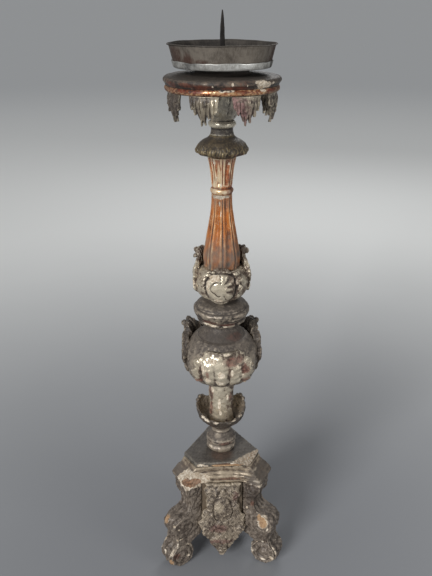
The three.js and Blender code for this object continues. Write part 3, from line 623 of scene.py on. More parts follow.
# Name; tones of the leaf, from bright to worn, and of the bole; share, shine and roughness of the
# bright leaf; streaks; shares of bole and of chips; dust
WOODS = [
    ("silvered_wood", "#cfc2ab #846c5b #3a2b21 #efe3cb #8a5a4c", 0.55, 0.6, 0.24, 0.2, 0.26, 0.2, 0.15),
    ("strand_wood", "#a59a87 #60544a #2a221c #d6cab1 #a57c7a", 0.5, 0.5, 0.3, 0.9, 0.28, 0.15, 0.1),
    ("cup_wood", "#a8a194 #5c534a #292421 #e0d5bd #5c3328", 0.52, 0.6, 0.24, 0.5, 0.24, 0.16, 0.1),
    ("varnished_wood", "#c9752f #985226 #4e2b16 #ecd6ac #8a3a1c", 0.56, 0.35, 0.27, 0.9, 0.22, 0.17, 0.05),
    ("rubbed_varnish", "#d8b88c #b4602a #5a2f18 #f2e4c8 #a04e24", 0.42, 0.35, 0.28, 0.8, 0.32, 0.2, 0.05),
    ("torus_wood", "#a05424 #7a3214 #3f190c #ecd3a4 #7c2c14", 0.44, 0.4, 0.28, 0, 0.3, 0.15, 0.05),
    ("disc_wood", "#5a544d #3a332e #1c1816 #857463 #6b3420", 0.46, 0.3, 0.36, 0, 0.34, 0.17, 0.3),
    ("dusty_wood", "#877c70 #554b44 #29221e #b8aa96 #6a4034", 0.47, 0.4, 0.36, 0.1, 0.26, 0.16, 0.4),
    ("aged_wood", "#80736a #52483f #29211b #b4a68f #6a463a", 0.46, 0.45, 0.34, 0.3, 0.27, 0.19, 0.2),
    ("leg_wood", "#93877a #675b51 #3a3028 #a39684 #74503f", 0.47, 0.3, 0.4, 0, 0.29, 0.28, 0.2),
    ("cornice_wood", "#ab9a84 #7a6857 #3a2e25 #cdbda4 #8a6450", 0.48, 0.4, 0.34, 0.1, 0.27, 0.18, 0.2),
    ("mossy_wood", "#a69884 #6e6155 #352b24 #c6b8a2 #8a6a60", 0.48, 0.3, 0.38, 0.2, 0.29, 0.23, 0.15),
    ("collar_wood", "#675945 #42382c #1f1914 #93835f #5c3328", 0.44, 0.4, 0.38, 0.5, 0.26, 0.17, 0.15),
    ("slate_wood", "#625e58 #4a4642 #2b2826 #9a9282 #6b4630", 0.46, 0.3, 0.38, 0.1, 0.22, 0.15, 0.4),
    ("core_wood", "#6e6050 #4a3d30 #2a221b #6e6050 #5c2c20", 0.4, 0.1, 0.6, 0.3, 0.2, 0.1, 0.3),
]

# Name; tones of the metal, its stains and its rust; share of rust; roughness; dust
IRONS = [
    ("pan_iron", "#8b8277 #554d45 #553424", 0.33, 0.42, 0.1),
    ("tinned_seam", "#dcdbd6 #8d8982 #5a4534", 0.18, 0.28, 0.03),
    ("wrought_iron", "#3a3634 #1f1d1c #33221a", 0.28, 0.5, 0.05),
]


def new_material(name):
    material = bpy.data.materials.new(name)
    material.use_nodes = True
    return material, material.node_tree


def finished(material, look, settled_dust, dust, bump, distance):
    """Lays dust over a look and gives it to the material's surface."""
    tree = material.node_tree
    height = look.pop("Height")
    look = use(tree, settled_dust, **look, Amount=dust, Dust=colour("#6a625a"))
    bumped = put(tree, "Bump", {"Strength": bump, "Distance": distance, "Height": height})
    sockets = {"Base Color": look["Color"], "Roughness": look["Roughness"], "Metallic": look["Metallic"]}
    fill(tree, tree.nodes["Principled BSDF"].inputs, {**sockets, "Normal": bumped})
    return material


def make_finishes():
    edge_wear = make_edge_wear()
    old_finish = make_old_finish(edge_wear)
    losses = make_losses(edge_wear, make_wood_grain())
    settled_dust = make_dust(edge_wear)
    old_iron = make_old_iron(edge_wear)
    made = {}
    for name, tones, share, shine, gloss, streak, bole_share, chips, dust in WOODS:
        material, tree = new_material(name)
        bright, middle, dark, worn, bole = map(colour, tones.split())
        look = use(
            tree, old_finish, Bright=bright, Middle=middle, Dark=dark, Worn=worn,
            Bright_Share=share, Shine=shine, Gloss=gloss, Streak=streak,
        )
        look = use(tree, losses, **look, Bole=bole, Bole_Share=bole_share, Chip_Share=chips)
        made[name] = finished(material, look, settled_dust, dust, 0.5, 0.0006)
    for name, tones, share, gloss, dust in IRONS:
        material, tree = new_material(name)
        metal, stain, rust = map(colour, tones.split())
        look = use(tree, old_iron, Metal=metal, Stain=stain, Rust=rust, Rust_Share=share, Gloss=gloss)
        made[name] = finished(material, look, settled_dust, dust, 0.35, 0.0004)
    return made


# ---------------------------------------------------------------- where the finish is lost or rubbed, and where highlights and shade are painted

# For each piece and kind of mark: x, y and height over the piece's level, half sizes across and up
# Shine spots mark rubbed leaf, and most of them also serve as painted highlights where the light catches the
# pieces from the front and left
SPOTS = {
    "drip_pan_sheet": {
        "bole": [(-45, -44, 9, 16, 9), (-58, -24, 14, 20, 16), (60, -18, 14, 20, 16), (-30, -56, 9, 9, 4)],
    },
    "disc": {
        "gesso": [
            (46, -59.3, 13, 9, 5.5), (53, -54, 12, 6, 4), (39.3, -64.7, 16.5, 4, 2.2),
            (35.4, -62.5, 7.5, 1.6, 1.2), (26.6, -67.1, 7.2, 1.5, 0.9), (60, -46, 14, 3, 2),
            (-70, 12, 14, 5, 3), (30, 68, 15, 8, 3), (8, -76, 15, 1.5, 3), (-16, -74, 12, 1.2, 2),
            (26, -71.5, 12, 1, 3),
        ],
        "bole": [
            (10, 74, 13, 12, 3), (-47.3, -59.2, 13, 12, 3), (-30, -69, 11, 14, 3), (12, -75, 10.5, 16, 2.4),
            (-66, -38, 12, 12, 3),
        ],
    },
    "disc_torus": {
        "shine": [
            (-22.5, -69.8, 5.5, 8, 1.5), (-12.4, -72.9, 5, 9, 1.5), (60, 40, 6, 9, 2), (-40, 60, 6, 9, 2),
            (14, -73, 5, 8, 1.2),
        ],
        "gesso": [
            (-3.4, -72.2, 7, 5, 1.2), (5, -71.6, 7.2, 6, 1.4), (26.6, -67.1, 7, 1.6, 1),
            (35.4, -62.5, 7, 2, 1.2), (46, -57, 7, 5, 2.4),
        ],
        "bole": [
            (-47.4, -54.2, 6, 16, 3), (-35.5, -63.5, 6, 9, 2.5), (20, -70, 5.5, 9, 1.8), (56, -46, 5.5, 9, 2),
        ],
    },
    "valance_strands_1": {
        "bole": [(0, -70, -24, 30, 30)],
        "gesso": [(-8, -70, -9, 2, 3), (6, -70, -16, 1.4, 5)],
    },
    "valance_strands_2": {
        "bole": [(-8, -70, -8, 8, 8)],
        "gesso": [(8, -70, -24, 1.4, 3)],
    },
    "valance_strands_8": {
        "shine": [(-4, -70, -12, 12, 12)],
        "gesso": [(4, -70, -22, 1.5, 4), (-9, -70, -14, 1.2, 5)],
    },
    "neck_vase": {
        "shine": [(-6, -25, 33, 8, 11), (-9, -14.5, 14, 13, 3.5), (6, -17, 15, 8, 2.5), (15, 20, 33, 6, 9)],
        "gesso": [(-8, -24, 32, 2, 5), (9, -24, 38, 1.4, 2.4), (-18, -20, 38, 1.2, 4)],
    },
    "collar_ruffle": {
        "gesso": [(-34, -8, 8, 2, 3), (29, -20, 6, 2, 1.4)],
        "bole": [(-33, -14, 6, 6, 3), (20, -28, 7, 9, 2)],
    },
    "shaft_lower": {
        "gesso": [
            (-4, -13.6, 104, 8, 3.2), (-10.5, -9, 103.5, 3, 2.5), (6.3, -12.4, 104, 4, 2),
            (-3.9, -12.2, 94, 1.6, 3.5), (16, -17, 22, 1.2, 5), (5, 13.5, 100, 5, 3),
            (-2.4, -15.2, 80, 0.8, 6),
        ],
    },
    "shaft_upper": {
        "shine": [(-4, -13.1, 27, 2.6, 24), (-11.3, -10.6, 6, 8, 3), (-11, -9, 16, 4, 6)],
        "gesso": [
            (-11.1, -13.7, 45.7, 2.0, 3.4), (8.7, -14.2, 44, 1.4, 2.2), (-2, -14, 14, 1.4, 3),
            (-8, -12.5, 22, 1, 4), (8, 14.2, 40, 1.6, 4),
        ],
        "grime": [(12, -9, 5, 7, 5)],
        "bole": [(9, -11, 24, 3, 9)],
    },
    "knop_vase": {
        "shine": [(-42.7, -34.1, 44, 7, 12), (-40, -34, 30, 8, 8), (42, -32, 50, 7, 8)],
        "gesso": [(-45.7, -29.2, 31, 2, 2), (44.1, -32.7, 41, 2.4, 4), (45.4, -28.7, 27, 4, 2.4)],
        "bole": [(20, -24, 82, 14, 5)],
        # Painted shade under the saucer
        "grime": [(0, -30, 83, 24, 5)],
    },
    "knop_acanthus_1": {
        "gesso": [
            (4.7, -56.5, 72, 7.5, 2.2), (-17, -57, 59, 7, 4), (-4.1, -62, 39, 6, 5),
            (-30.9, -52.5, 43, 3.5, 8), (26, -52, 34, 5, 2), (-6, -54, 24, 7, 3.4), (-22, -52, 28, 4, 4),
            (12, -58, 40, 2, 6),
        ],
        "bole": [
            (13.2, -58.2, 58, 13, 7), (23.6, -53.4, 60, 8, 5), (30, -50, 44, 5, 10), (-24, -56, 34, 3, 9),
            (34.3, -49.7, 41, 6, 6), (30, -42, 24, 9, 6), (-34, -40, 22, 8, 6),
        ],
        "shine": [
            (-16, -56.1, 55, 14, 12), (-8, -60, 37, 13, 13), (8, -58, 25, 12, 6), (-12, -52, 20, 16, 7),
            (24, -52, 30, 8, 10),
        ],
    },
    "knop_acanthus_2": {
        "shine": [(*on_axis(60, -40, 26), 9, 5), (*on_axis(60, -36, 55), 8, 5)],
        "gesso": [(*on_axis(60, -40, 40), 7, 3), (*on_axis(60, -40, 18), 4, 3)],
    },
    "knop_acanthus_3": {
        "shine": [(*on_axis(60, 40, 26), 9, 5), (*on_axis(60, 36, 55), 8, 5)],
        "gesso": [(*on_axis(60, 40, 40), 7, 3), (*on_axis(60, 40, 18), 4, 3)],
    },
    "saucer_bun": {
        "gesso": [
            (*on_axis(36, -26, 8), 10, 1.6), (*on_axis(36, 4, 7), 4, 1), (-9, -37.5, 15, 1.6, 1.6),
            (-23, -28, 9, 7, 1.6), (*on_axis(35.5, 150, 7), 12, 1.4), (14, -36, 17, 1.2, 1.2),
        ],
        "shine": [(-12.1, -37.1, 15, 9, 6), (-2, -24, 36, 5, 2), (-26, -29, 22, 5, 3)],
        "bole": [(-18, -32, 13, 12, 3), (8, -36, 10, 14, 2)],
    },
    "calyx_carved": {
        "shine": [(-12, -42, 40, 16, 12), (-22, -38, 26, 8, 13), (-6, -43, 17, 16, 10), (31, -23, 34, 5, 8)],
        "gesso": [
            (-13, -41, 46, 9, 5), (-22, -38, 37, 4, 6), (-23, -38, 25, 3.4, 9), (-8, -43, 12, 8, 3.4),
            (-41, -8, 27, 2, 7), (-31, -25, 48, 1.6, 1.6), (35.6, -16, 45, 1.6, 1.6), (17, -38, 13, 4, 1.6),
            (3, -44, 33, 2.4, 2),
        ],
    },
    "stem_waisted": {
        "shine": [(-6, -18, 60, 9, 12), (-5, -17, 34, 9, 22), (-5, -19, 10, 7, 8), (10, 14, 34, 6, 16)],
        "bole": [(-16, -10, 56, 5, 12), (-15, -9, 30, 4, 8), (-17, -4, 18, 6, 6), (12, -12, 48, 4, 10)],
        "gesso": [
            (-13, -12, 62, 3, 6), (-4, -18, 36, 2.2, 12), (-13, -12, 40, 1.5, 3), (-2, -17, 22, 2, 5),
            (8, -17, 50, 2, 5),
        ],
    },
    "dish_lobed": {
        "shine": [(24, 18, 22, 9, 8)],
        "gesso": [
            (-24.7, -28.3, 28, 7, 2.4), (-30, -22, 29, 5, 2.4), (17.7, -35, 30, 5, 1.4),
            (30, -22, 30, 5, 1.6), (-10, -40, 30, 4, 1.2),
        ],
        "bole": [(-17, -24.7, 16, 8, 5), (-18, -4, 13, 5, 4), (8, -30, 12, 10, 4)],
    },
    "bell_ring": {
        "shine": [(-5.6, -14, 30, 4, 8), (-7, -11.3, 36, 9, 3), (-14, 12, 9, 8, 3), (-12, -18, 11, 8, 1.5)],
        "gesso": [(-16.6, -14.1, 10, 4, 1.6), (18.2, -12.2, 9, 2, 1.6)],
        "bole": [(6, -22, 18, 10, 3)],
    },
    "cornice_moulded": {
        "gesso": [
            (52.5, -56.3, 162, 7, 2.6), (57, -50, 159, 5, 3.4), (-52, -50, 171, 14, 3), (30, 64, 162, 6, 3),
            (-70, -20, 163, 5, 2), (34, -50, 158, 3, 1.2), (-75, -34, 162, 3, 4), (46, -40, 176, 8, 1.6),
        ],
        "shine": [(-1, -46.3, 168, 26, 2.4), (8, -46, 173, 24, 2), (0, -50, 158, 26, 3)],
        "bole": [(10, -47, 162, 20, 3)],
    },
    "cap_board": {
        "gesso": [
            (-34.2, -44.3, 187.5, 6, 2.4), (-26, -44.1, 185, 4, 2), (20, 46, 188, 5, 2),
            (16, -44, 188.5, 5, 1.4),
        ],
        "bare": [(-5, -44, 186, 13, 2), (14, -44, 185.6, 16, 2.2)],
        "bole": [(8.4, -44, 188, 20, 2), (-0.4, -24, 191.5, 16, 6)],
        "shine": [(6, -44.5, 189, 26, 2.2)],
    },
    "leg_carved_1": {
        "bare": [(63.9, -56.5, 82, 6.5, 10), (57.5, -54.3, 90, 4.5, 6)],
        "gesso": [
            (63, -57, 84, 9, 13), (69.9, -61.7, 72, 2, 3), (38.6, -41.9, 101.5, 2.2, 2.6),
            (48.3, -49.3, 18.6, 3, 4), (63.9, -58.2, 10, 8, 2), (78.9, -64, 17, 5, 3),
            (59.7, -50.6, 149, 6, 2.4),
        ],
        "grime": [(48, -46, 130, 13, 13)],
        "bole": [(46, -48, 112, 5, 6)],
    },
    "leg_carved_2": {
        "bare": [(6, 92, 84, 6, 8)],
        "gesso": [(-12, 100, 30, 3, 6), (10, 104, 14, 6, 2.4), (-14, 78, 130, 3, 3)],
    },
    "leg_carved_3": {
        "bare": [(-87, -41.8, 84, 6, 8), (-82.9, -64.2, 16, 4, 5)],
        "gesso": [
            (-76.6, -60.2, 83.7, 2, 2), (-69.7, -61.6, 77, 1.8, 1.8), (-51.2, -50.9, 33, 2.5, 5),
            (-57.9, -54.8, 18.6, 6, 2), (-68.5, -59.2, 55, 6, 1.6), (-95.6, -36.2, 39, 4, 2),
            (-93.3, -51.1, 27.3, 3.6, 3.6), (-57.3, -52.7, 152.5, 9, 1.8), (-36, -41, 146, 3, 5),
        ],
        "bole": [(-73.9, -64, 26, 6, 6)],
    },
    "panel_shield_1": {
        "gesso": [
            (-26.5, -46.2, 75, 2, 2), (-4.7, -47.9, 127.8, 2, 2), (-16.7, -45.7, 139.4, 1.4, 1.4),
            (8, -50, 96, 1.2, 1.6), (4, -48, 36, 3, 0.8),
        ],
        "bole": [
            (-4, -47.8, 41, 12, 4), (-18.5, -45.3, 39, 6, 3), (10.7, -46.7, 39, 7, 3), (20, -46, 130, 6, 10),
            (-6, -50, 66, 14, 8),
        ],
        "shine": [(-6, -52, 110, 6, 8)],
    },
}


# ---------------------------------------------------------------- ironwork


def make_pricket():
    """A forged spike: square with soft edges, tapering, with the marks of the hammer."""
    blank = 3
    foot = PAN - 0.3 - 72
    heights = [foot, foot + 36, PAN + 3, 816, 830, 838, TIP]
    half_widths = [2.1, 3.5, 3.5, 2.8, 1.9, 1.0, 0.5]

    def square(angle, radius, height, points):
        half = np.interp(height, heights, half_widths)
        corner = (np.abs(np.cos(angle)) ** 7 + np.abs(np.sin(angle)) ** 7) ** (-1 / 7)
        beaten = 1 + 0.05 * lumps(points, 11, 21) + 0.02 * lumps(points, 4, 22)
        return radius / blank * half * corner * beaten, height

    mesh = turned([(0, foot), (blank, foot), (blank, TIP), (0, TIP)], 64, 1.5, square)
    piece("pricket", mesh, "wrought_iron", "wrought_iron", "pricket_spike", rounds=10, depth=0.2)


def make_pan_wall():
    """The wall of the drip pan, with its rolled lip, darkened inside by soot and painted shade, and towards
    its sides by painted shade.
    """
    wall = [
        (60.6, 0), (61.8, 0), (64.8, 12), (67.6, 23), *arc((69.6, 26.3), 1.3, 200, 20, 7),
        *arc((69.6, 26.9), 1.0, 60, 160, 4), (67.0, 25), (66.4, 23), (63.5, 12),
    ]

    def dented(angle, radius, height, points):
        up = height / 28
        bend = 0.35 * np.sin(3 * angle + 0.6) + 0.22 * np.sin(7 * angle + 2) + 0.15 * np.sin(13 * angle)
        shake = 0.3 * np.sin(2 * angle + 1.3) + 0.26 * np.sin(5 * angle) + 0.14 * np.sin(11 * angle + 1)
        return radius + bend * up + 0.1 * lumps(points, 9, 3), height + shake * up**3

    mesh = turned(wall, PAN_SIDES, 0.9, dented, ring=True)
    points, outward = positions(mesh), normals(mesh)
    angle, _ = around(points)
    facing = outward[:, 0] * np.sin(angle) - outward[:, 1] * np.cos(angle)
    # Inward faces get soot and painted shade; the sides, as seen from the front, get painted shade
    soot_and_shade = np.maximum(1 - step(facing, -0.5, 0.1), 0.12 + 0.55 * (1 - np.abs(np.cos(angle))))
    piece("drip_pan_sheet", mesh, "pan_iron", "tinned_iron", "drip_pan_wall", PAN, rounds=30, grime=soot_and_shade)


def make_pan_floor():
    """The floor of the drip pan: a sagging disc with a square hole."""
    bm = bmesh.new()
    bmesh.ops.create_circle(bm, segments=144, radius=60.4 * MM)
    square = Matrix.Rotation(math.pi / 4, 4, "Z")
    hole = bmesh.ops.create_circle(bm, segments=4, radius=4.25 * math.sqrt(2) * MM, matrix=square)["verts"]
    inner = list({edge for vert in hole for edge in vert.link_edges})
    bmesh.ops.subdivide_edges(bm, edges=inner, cuts=35)
    bmesh.ops.bridge_loops(bm, edges=bm.edges[:])
    spokes = [edge for edge in bm.edges if edge.calc_length() > 30 * MM]
    bmesh.ops.subdivide_edges(bm, edges=spokes, cuts=30, use_grid_fill=True)
    bmesh.ops.solidify(bm, geom=bm.faces[:], thickness=-1.2 * MM)
    mesh = mesh_from(bm)

    def dished(angle, radius, height, points):
        sag = 0.35 * lumps(points, 40, 7) * step(radius, 8, 30) * (1 - step(radius, 50, 60))
        return radius, height + sag

    carve(mesh, dished)
    points = positions(mesh)
    points[:, 2] += CLEAR - points[:, 2].min()
    set_positions(mesh, points)
    # The whole floor is darkened by soot and by painted shade in the pan's hollow
    soot_and_shade = 0.75 + 0.25 * lumps(points, 25, 8)
    piece("drip_pan_base", mesh, "pan_iron", "tinned_iron", "drip_pan_floor", PAN, rounds=12, grime=soot_and_shade)


def make_pan_strip():
    """The tinned strip soldered round the foot of the drip pan, with painted shade towards its sides and a
    painted shadow along its foot.
    """
    strip = [
        (55.4, -1.25), (61.5, -1.3), (62.6, -0.9), (63.2, 0.2), (64.2, 3.6), (65.0, 7.2),
        (64.7, 7.7), (64.0, 7.2), (63.0, 3.6), (62.2, 0), (61.6, -0.4), (55.4, -0.35),
    ]

    def soldered(angle, radius, height, points):
        up = step(height, 1, 6)
        edge = 0.45 * np.sin(5 * angle + 1.2) + 0.3 * np.sin(11 * angle) + 0.2 * np.sin(23 * angle + 2)
        return radius + 0.12 * lumps(points, 6, 9) + 0.11 * edge * up, height + (edge - 0.4) * up * 0.8

    mesh = turned(strip, PAN_SIDES, 0.8, soldered, ring=True)
    points = positions(mesh)
    # Painted shade darkens the sides, and a painted shadow darkens the lowest few millimetres
    side = 1 - step(np.cos(around(points)[0] - 0.25), 0.6, 0.97)
    darkened = side * (0.75 + 0.25 * lumps(points, 12, 10)) + 0.25 * (1 - step(points[:, 2], -0.5, 3))
    piece(
        "drip_pan_strip", mesh, "tinned_seam", "tinned_iron", "drip_pan_seam", PAN, rounds=16,
        grime=np.clip(darkened, 0, 1),
    )


# ---------------------------------------------------------------- the disc and what hangs from it


def warp(angle):
    """How far the rim of the disc has warped up or down."""
    return 0.35 * np.sin(2 * angle + 0.4) + 0.2 * np.sin(3 * angle + 2)


def make_disc():
    outline = [
        (0, 0.2), (72.0, 0.2), *arc((70.8, 4.3), 3.5, -50, 62, 10), (72.8, 8.2), (73.6, 9.0), (74.2, 10.2),
        *arc((72.5, 14.6), 4.0, -55, 82, 14), (71.3, 19.0), (60, 19.9), (39, 21), (36, 22.3), (34.6, 25),
        (34.2, 30), (0, 30),
    ]

    def worn(angle, radius, height, points):
        rim = step(radius, 60, 72)
        dents = 0.3 * lumps(points, 16, 11) + 0.16 * lumps(points, 5, 12)
        lift = rim * warp(angle) + 0.12 * lumps(points, 20, 13) * step(radius, 30, 40)
        return radius + rim * dents, height + lift

    mesh = turned(outline, DISC_SIDES, 1.2, worn)
    points = positions(mesh)
    nose = step(points[:, 2], 8, 10) * (1 - step(points[:, 2], 17.6, 19.2)) * step(around(points)[1], 60, 70)
    darkened = np.clip(0.7 * nose * (0.75 + 0.6 * lumps(points, 13, 16)), 0, 1)
    piece("disc", mesh, "disc_wood", "dusty_wood", "top_disc", DISC, grime=darkened)

    # The torus has its own warm finish: a thin band over the disc's edge
    outline = [(68, 0.9), *arc((70.9, 4.3), 3.9, -58, 70, 12), (68, 8.2)]

    def worn_torus(angle, radius, height, points):
        dents = 0.22 * lumps(points, 16, 11) + 0.14 * lumps(points, 5, 14)
        return radius + step(radius, 69, 72) * dents, height + warp(angle) * step(radius, 60, 72)

    mesh = turned(outline, DISC_SIDES, 0.9, worn_torus, ring=True)
    # Painted shade darkens the torus towards its left and right ends
    ends = 0.75 * step(np.abs(np.sin(around(positions(mesh))[0])), 0.55, 0.95)
    piece("disc_torus", mesh, "torus_wood", "dusty_wood", "top_disc", DISC, rounds=14, grime=ends)


# Lengths of the hanging strands of each leaf of the valance, as shares of the leaf's length
STRANDS = [
    [0.46, 0.62, 0.84, 0.78, 1.0, 0.9, 0.7, 0.5],
    [0.58, 0.9, 0.74, 0.96, 0.84, 1.0, 0.62, 0.45],
    [0.42, 0.66, 0.8, 1.0, 0.86, 0.95, 0.72, 0.54],
    [0.55, 0.72, 0.95, 0.85, 1.0, 0.68, 0.76, 0.42],
]
LONGEST_STRAND = 36.5


def make_valance():
    """Eight leaves under the rim of the disc, each a fan of hanging strands."""
    strands = 8
    for k in range(8):
        lengths = np.array(STRANDS[(k * 3) % len(STRANDS)])
        if k % 3 == 1:
            lengths = lengths[::-1]
        mesh, side, v, back = plate(176, 60)
        strand = np.clip((side + 1) / 2 * strands, 0, strands - 0.001)
        index = strand.astype(int)
        t = strand - index - 0.5
        body = np.cos(np.pi * t)
        down = 1 - v
        own = lengths[index] * (0.82 + 0.18 * (1 - np.abs(2 * t) ** 1.5))
        drop = LONGEST_STRAND * own * down
        radius = 72 + 0.4 * hump(drop, 9, 9) - 6.5 * (drop / 35) ** 2.2
        thick = 4.0 - 1.9 * (drop / 35)
        curl = 1.2 * step(down, 0.75, 1) * body
        ridge = 1.3 * body**0.6 * step(drop, 2, 8) + 0.5 * np.abs(np.sin(np.pi * t * 2.2)) * step(drop, 5, 10)
        edge = 1 - 0.5 * step(down, 0.9, 1) * (1 - body)
        apart = 0.6 * np.sin(index * 2.4 + k) * step(drop, 6, 20)
        radius = radius + (np.where(back, -thick, ridge * edge - 1.0 + curl) + apart)
        width = 20 * (1 - 0.32 * (drop / 35) ** 1.3)
        sway = 0.03 * np.sin(drop / 7 + index * 1.7 + k)
        angle = side * width / 72 + sway * step(drop, 6, 30)
        points = about_axis(angle, radius, -drop - 0.1)
        wobble = 0.35 * lumps(points, 7, 40 + k) * step(drop, 2, 6)
        points += about_axis(angle, np.ones(len(angle)), 0 * angle) * wobble[:, None]
        set_positions(mesh, points)
        # The two outer leaves, the left one most, are darkened as painted shade, over random darker patches
        shade = {1: 0.3, 6: 0.65}.get(k, 0) + 0.35 * lumps(points, 6, 45 + k)
        piece(
            f"valance_strands_{k + 1}", settled(mesh), "strand_wood", "silvered_wood",
            f"valance_leaf_{k + 1}", DISC, 22.5 + 45 * k, rounds=16, depth=0.5, grime=np.clip(shade, 0, 1),
        )


def make_neck():
    outline = [
        (0, 0.2), (16, 0.2), (14.9, 4), (14.6, 8), *arc((13.8, 14.25), 4.7, -75, 80, 12), (15.6, 19.6),
        *smooth_run([(17.2, 21.5), (24.8, 31.5), (32.0, 44.5), (34.9, 56.8)], 30), (0, 56.8),
    ]

    def carved(angle, radius, height, points):
        cup = step(height, 22, 30) * (1 - step(height, 50, 56))
        petal = np.abs(np.cos(5 * angle + 0.3))
        vein = np.abs(np.cos(15 * angle + 0.9))
        cut = 0.8 * (1 - petal) ** 2 + 0.35 * (1 - vein) ** 2
        rough = 0.25 * lumps(points, 8, 15) + 0.16 * lumps(points, 3.5, 20)
        return radius - cup * cut + rough * step(radius, 1, 5), height

    mesh = turned(outline, 180, 1.0, carved)
    darkened = 0.7 * (1 - step(positions(mesh)[:, 2], 8, 11))
    piece("neck_vase", mesh, "cup_wood", "silvered_wood", "neck_cup", NECK, grime=darkened)


def make_collar():
    outline = [
        (0, 0.2), (19.3, 0.2), (20.8, 1.3), (30, 3.4), (34.6, 5), (36.2, 7.2), (36.3, 9.8), (34.6, 13),
        *smooth_run([(32.4, 16.4), (26.4, 21.4), (19.4, 25.2), (16.2, 28.9)], 18), (0, 28.9),
    ]

    def ruffled(angle, radius, height, points):
        reach = step(radius, 22, 34)
        bent = angle + 0.05 * lumps(points, 14, 26)
        petal = (1 - np.abs(np.cos(6 * bent))) * reach
        fold = 1 - np.abs(np.cos(24 * bent + 0.25 * np.sin(6 * angle)))
        fold = fold * reach * (1 - step(height, 15, 20))
        rough = 0.4 * lumps(points, 9, 17) + 0.2 * lumps(points, 4, 27)
        sunk = 2.3 * petal + 0.9 * fold - rough * reach
        raised = 1.9 * petal + 0.5 * fold + 0.5 * lumps(points, 10, 18) * reach
        return radius - sunk, height + raised

    mesh = turned(outline, 288, 0.9, ruffled)
    piece("collar_ruffle", mesh, "collar_wood", "aged_wood", "leaf_collar", COLLAR, rounds=18, depth=0.3)


# ---------------------------------------------------------------- the shaft


def ridge_place(angle, radius, points):
    """Distance from the middle of the nearest ridge of the shaft, and half the way to the next one."""
    angle = angle + 0.012 * lumps(points, 30, 57)
    turn = (angle + math.pi / 8) % (math.pi / 4) - math.pi / 8
    return np.abs(turn) * radius, np.maximum(radius, 1) * math.pi / 8


def fluted(depth, fade):
    """Hollow flutes between flat ridges, each ridge with a bead at its edges and a groove between."""

    def change(angle, radius, height, points):
        aside, half = ridge_place(angle, radius, points)
        hollow = np.sin(np.clip((aside - 0.4 * half) / (0.6 * half), 0, 1) * math.pi / 2) ** 1.3
        cut = depth * hollow + 0.7 * hump(aside, 0, 0.12 * half) - 0.3 * hump(aside, 0.3 * half, 0.1 * half)
        inside = step(radius, 5, 9)
        return radius - inside * (cut * fade(height) - 0.14 * lumps(points, 9, 19)), height

    return change


def ridge_marks(mesh, fade, dust, pale_share=1.0):
    """Pale beads, grime in the grooves and beside the ridges, and dust(height) all round."""
    points = positions(mesh)
    aside, half = ridge_place(*around(points), points)
    ragged = np.clip(0.75 + 0.7 * lumps(points * (1, 1, 0.3), 7, 58), 0, 1)
    shown = fade(points[:, 2])
    pale = hump(aside, 0.3 * half, 0.15 * half * pale_share) * ragged * shown
    groove = 0.9 * hump(aside, 0, 0.11 * half) * shown
    flank = 0.4 * hump(aside, 0.55 * half, 0.1 * half) * (1.2 - ragged) * shown
    dull = dust(points[:, 2]) * (1 + 0.3 * lumps(points, 10, 59))
    return {"shine": pale * (1 - 0.6 * dull), "grime": np.clip(groove + flank, 0, 1), "dust": dull}


def make_shafts():
    outline = [
        (0, 0.2), (25, 0.2),
        *smooth_run([(25, 4), (26, 16), (22.6, 38), (17.0, 70), (14.4, 90), (14.2, 105)], 90),
        (14.2, 105.8), (0, 105.8),
    ]

    def fade(height):
        return 1 - step(height, 94, 106)

    def dust(height):
        return np.maximum(0.85 * (1 - step(height, 22, 62)), 0.5 * step(height, 80, 96))

    mesh = turned(outline, SHAFT_SIDES, 1.2, fluted(2.2, fade))
    marks = ridge_marks(mesh, fade, dust)
    piece("shaft_lower", mesh, "varnished_wood", "varnished_wood", "lower_shaft", LOWER_SHAFT, **marks)

    outline = [
        (0, 0.2), (14.0, 0.2), *arc((11.6, 4.7), 4.4, -60, 62, 12), (13.7, 9.6), (13.9, 11),
        *smooth_run([(14.2, 13), (15.3, 26), (17.0, 39), (19.5, 50.8)], 36), (0, 50.8),
    ]

    def fade_in(height):
        return step(height, 11, 18)

    mesh = turned(outline, SHAFT_SIDES, 1.0, fluted(2.0, fade_in))
    marks = ridge_marks(mesh, fade_in, lambda height: 0.5 * step(height, 38, 50), 1.3)
    piece("shaft_upper", mesh, "rubbed_varnish", "varnished_wood", "upper_shaft", UPPER_SHAFT, **marks)


# ---------------------------------------------------------------- carved bodies of the stem


def acanthus(lobes, rib, veins, slope=1.0):
    """Relief of an acanthus leaf: a raised midrib, slanting lobes and fine veins on them."""

    def relief(side, v):
        reach = np.abs(side)
        stray = 0.12 * np.sin(5 * v + 3 * side) + 0.08 * np.sin(11 * v - 5 * side + 1)
        slant = lobes * (v - 0.42 * reach) + stray
        fine = 0.5 + 0.5 * np.cos(FULL_TURN * slant * 3 + 1)
        centre = rib * hump(reach, 0, 0.11) - 0.7 * slope * hump(reach, 0.2, 0.07)
        rolled = 1.2 * hump(reach, 0.93, 0.1)
        cut = (waves(slant) ** 0.7 - 1) * 2.3 * slope * step(reach, 0.12, 0.5)
        return centre + cut + fine * veins * step(reach, 0.2, 0.5) + rolled - 1.6

    return relief


def closing(relief):
    """The same relief, with the sides of the leaf's top laid back against the body."""
    return lambda side, v: relief(side, v) - 9 * step(v, 0.55, 1) * np.clip(np.abs(side) - 0.12, 0, 1)


def notched(lobes, depth):
    """Outline of a leaf with a notch between its lobes."""

    def outline(side, v):
        reach = np.abs(side)
        return 1 - depth * (1 - waves(lobes * (v - 0.42 * reach))) * reach**2

    return outline


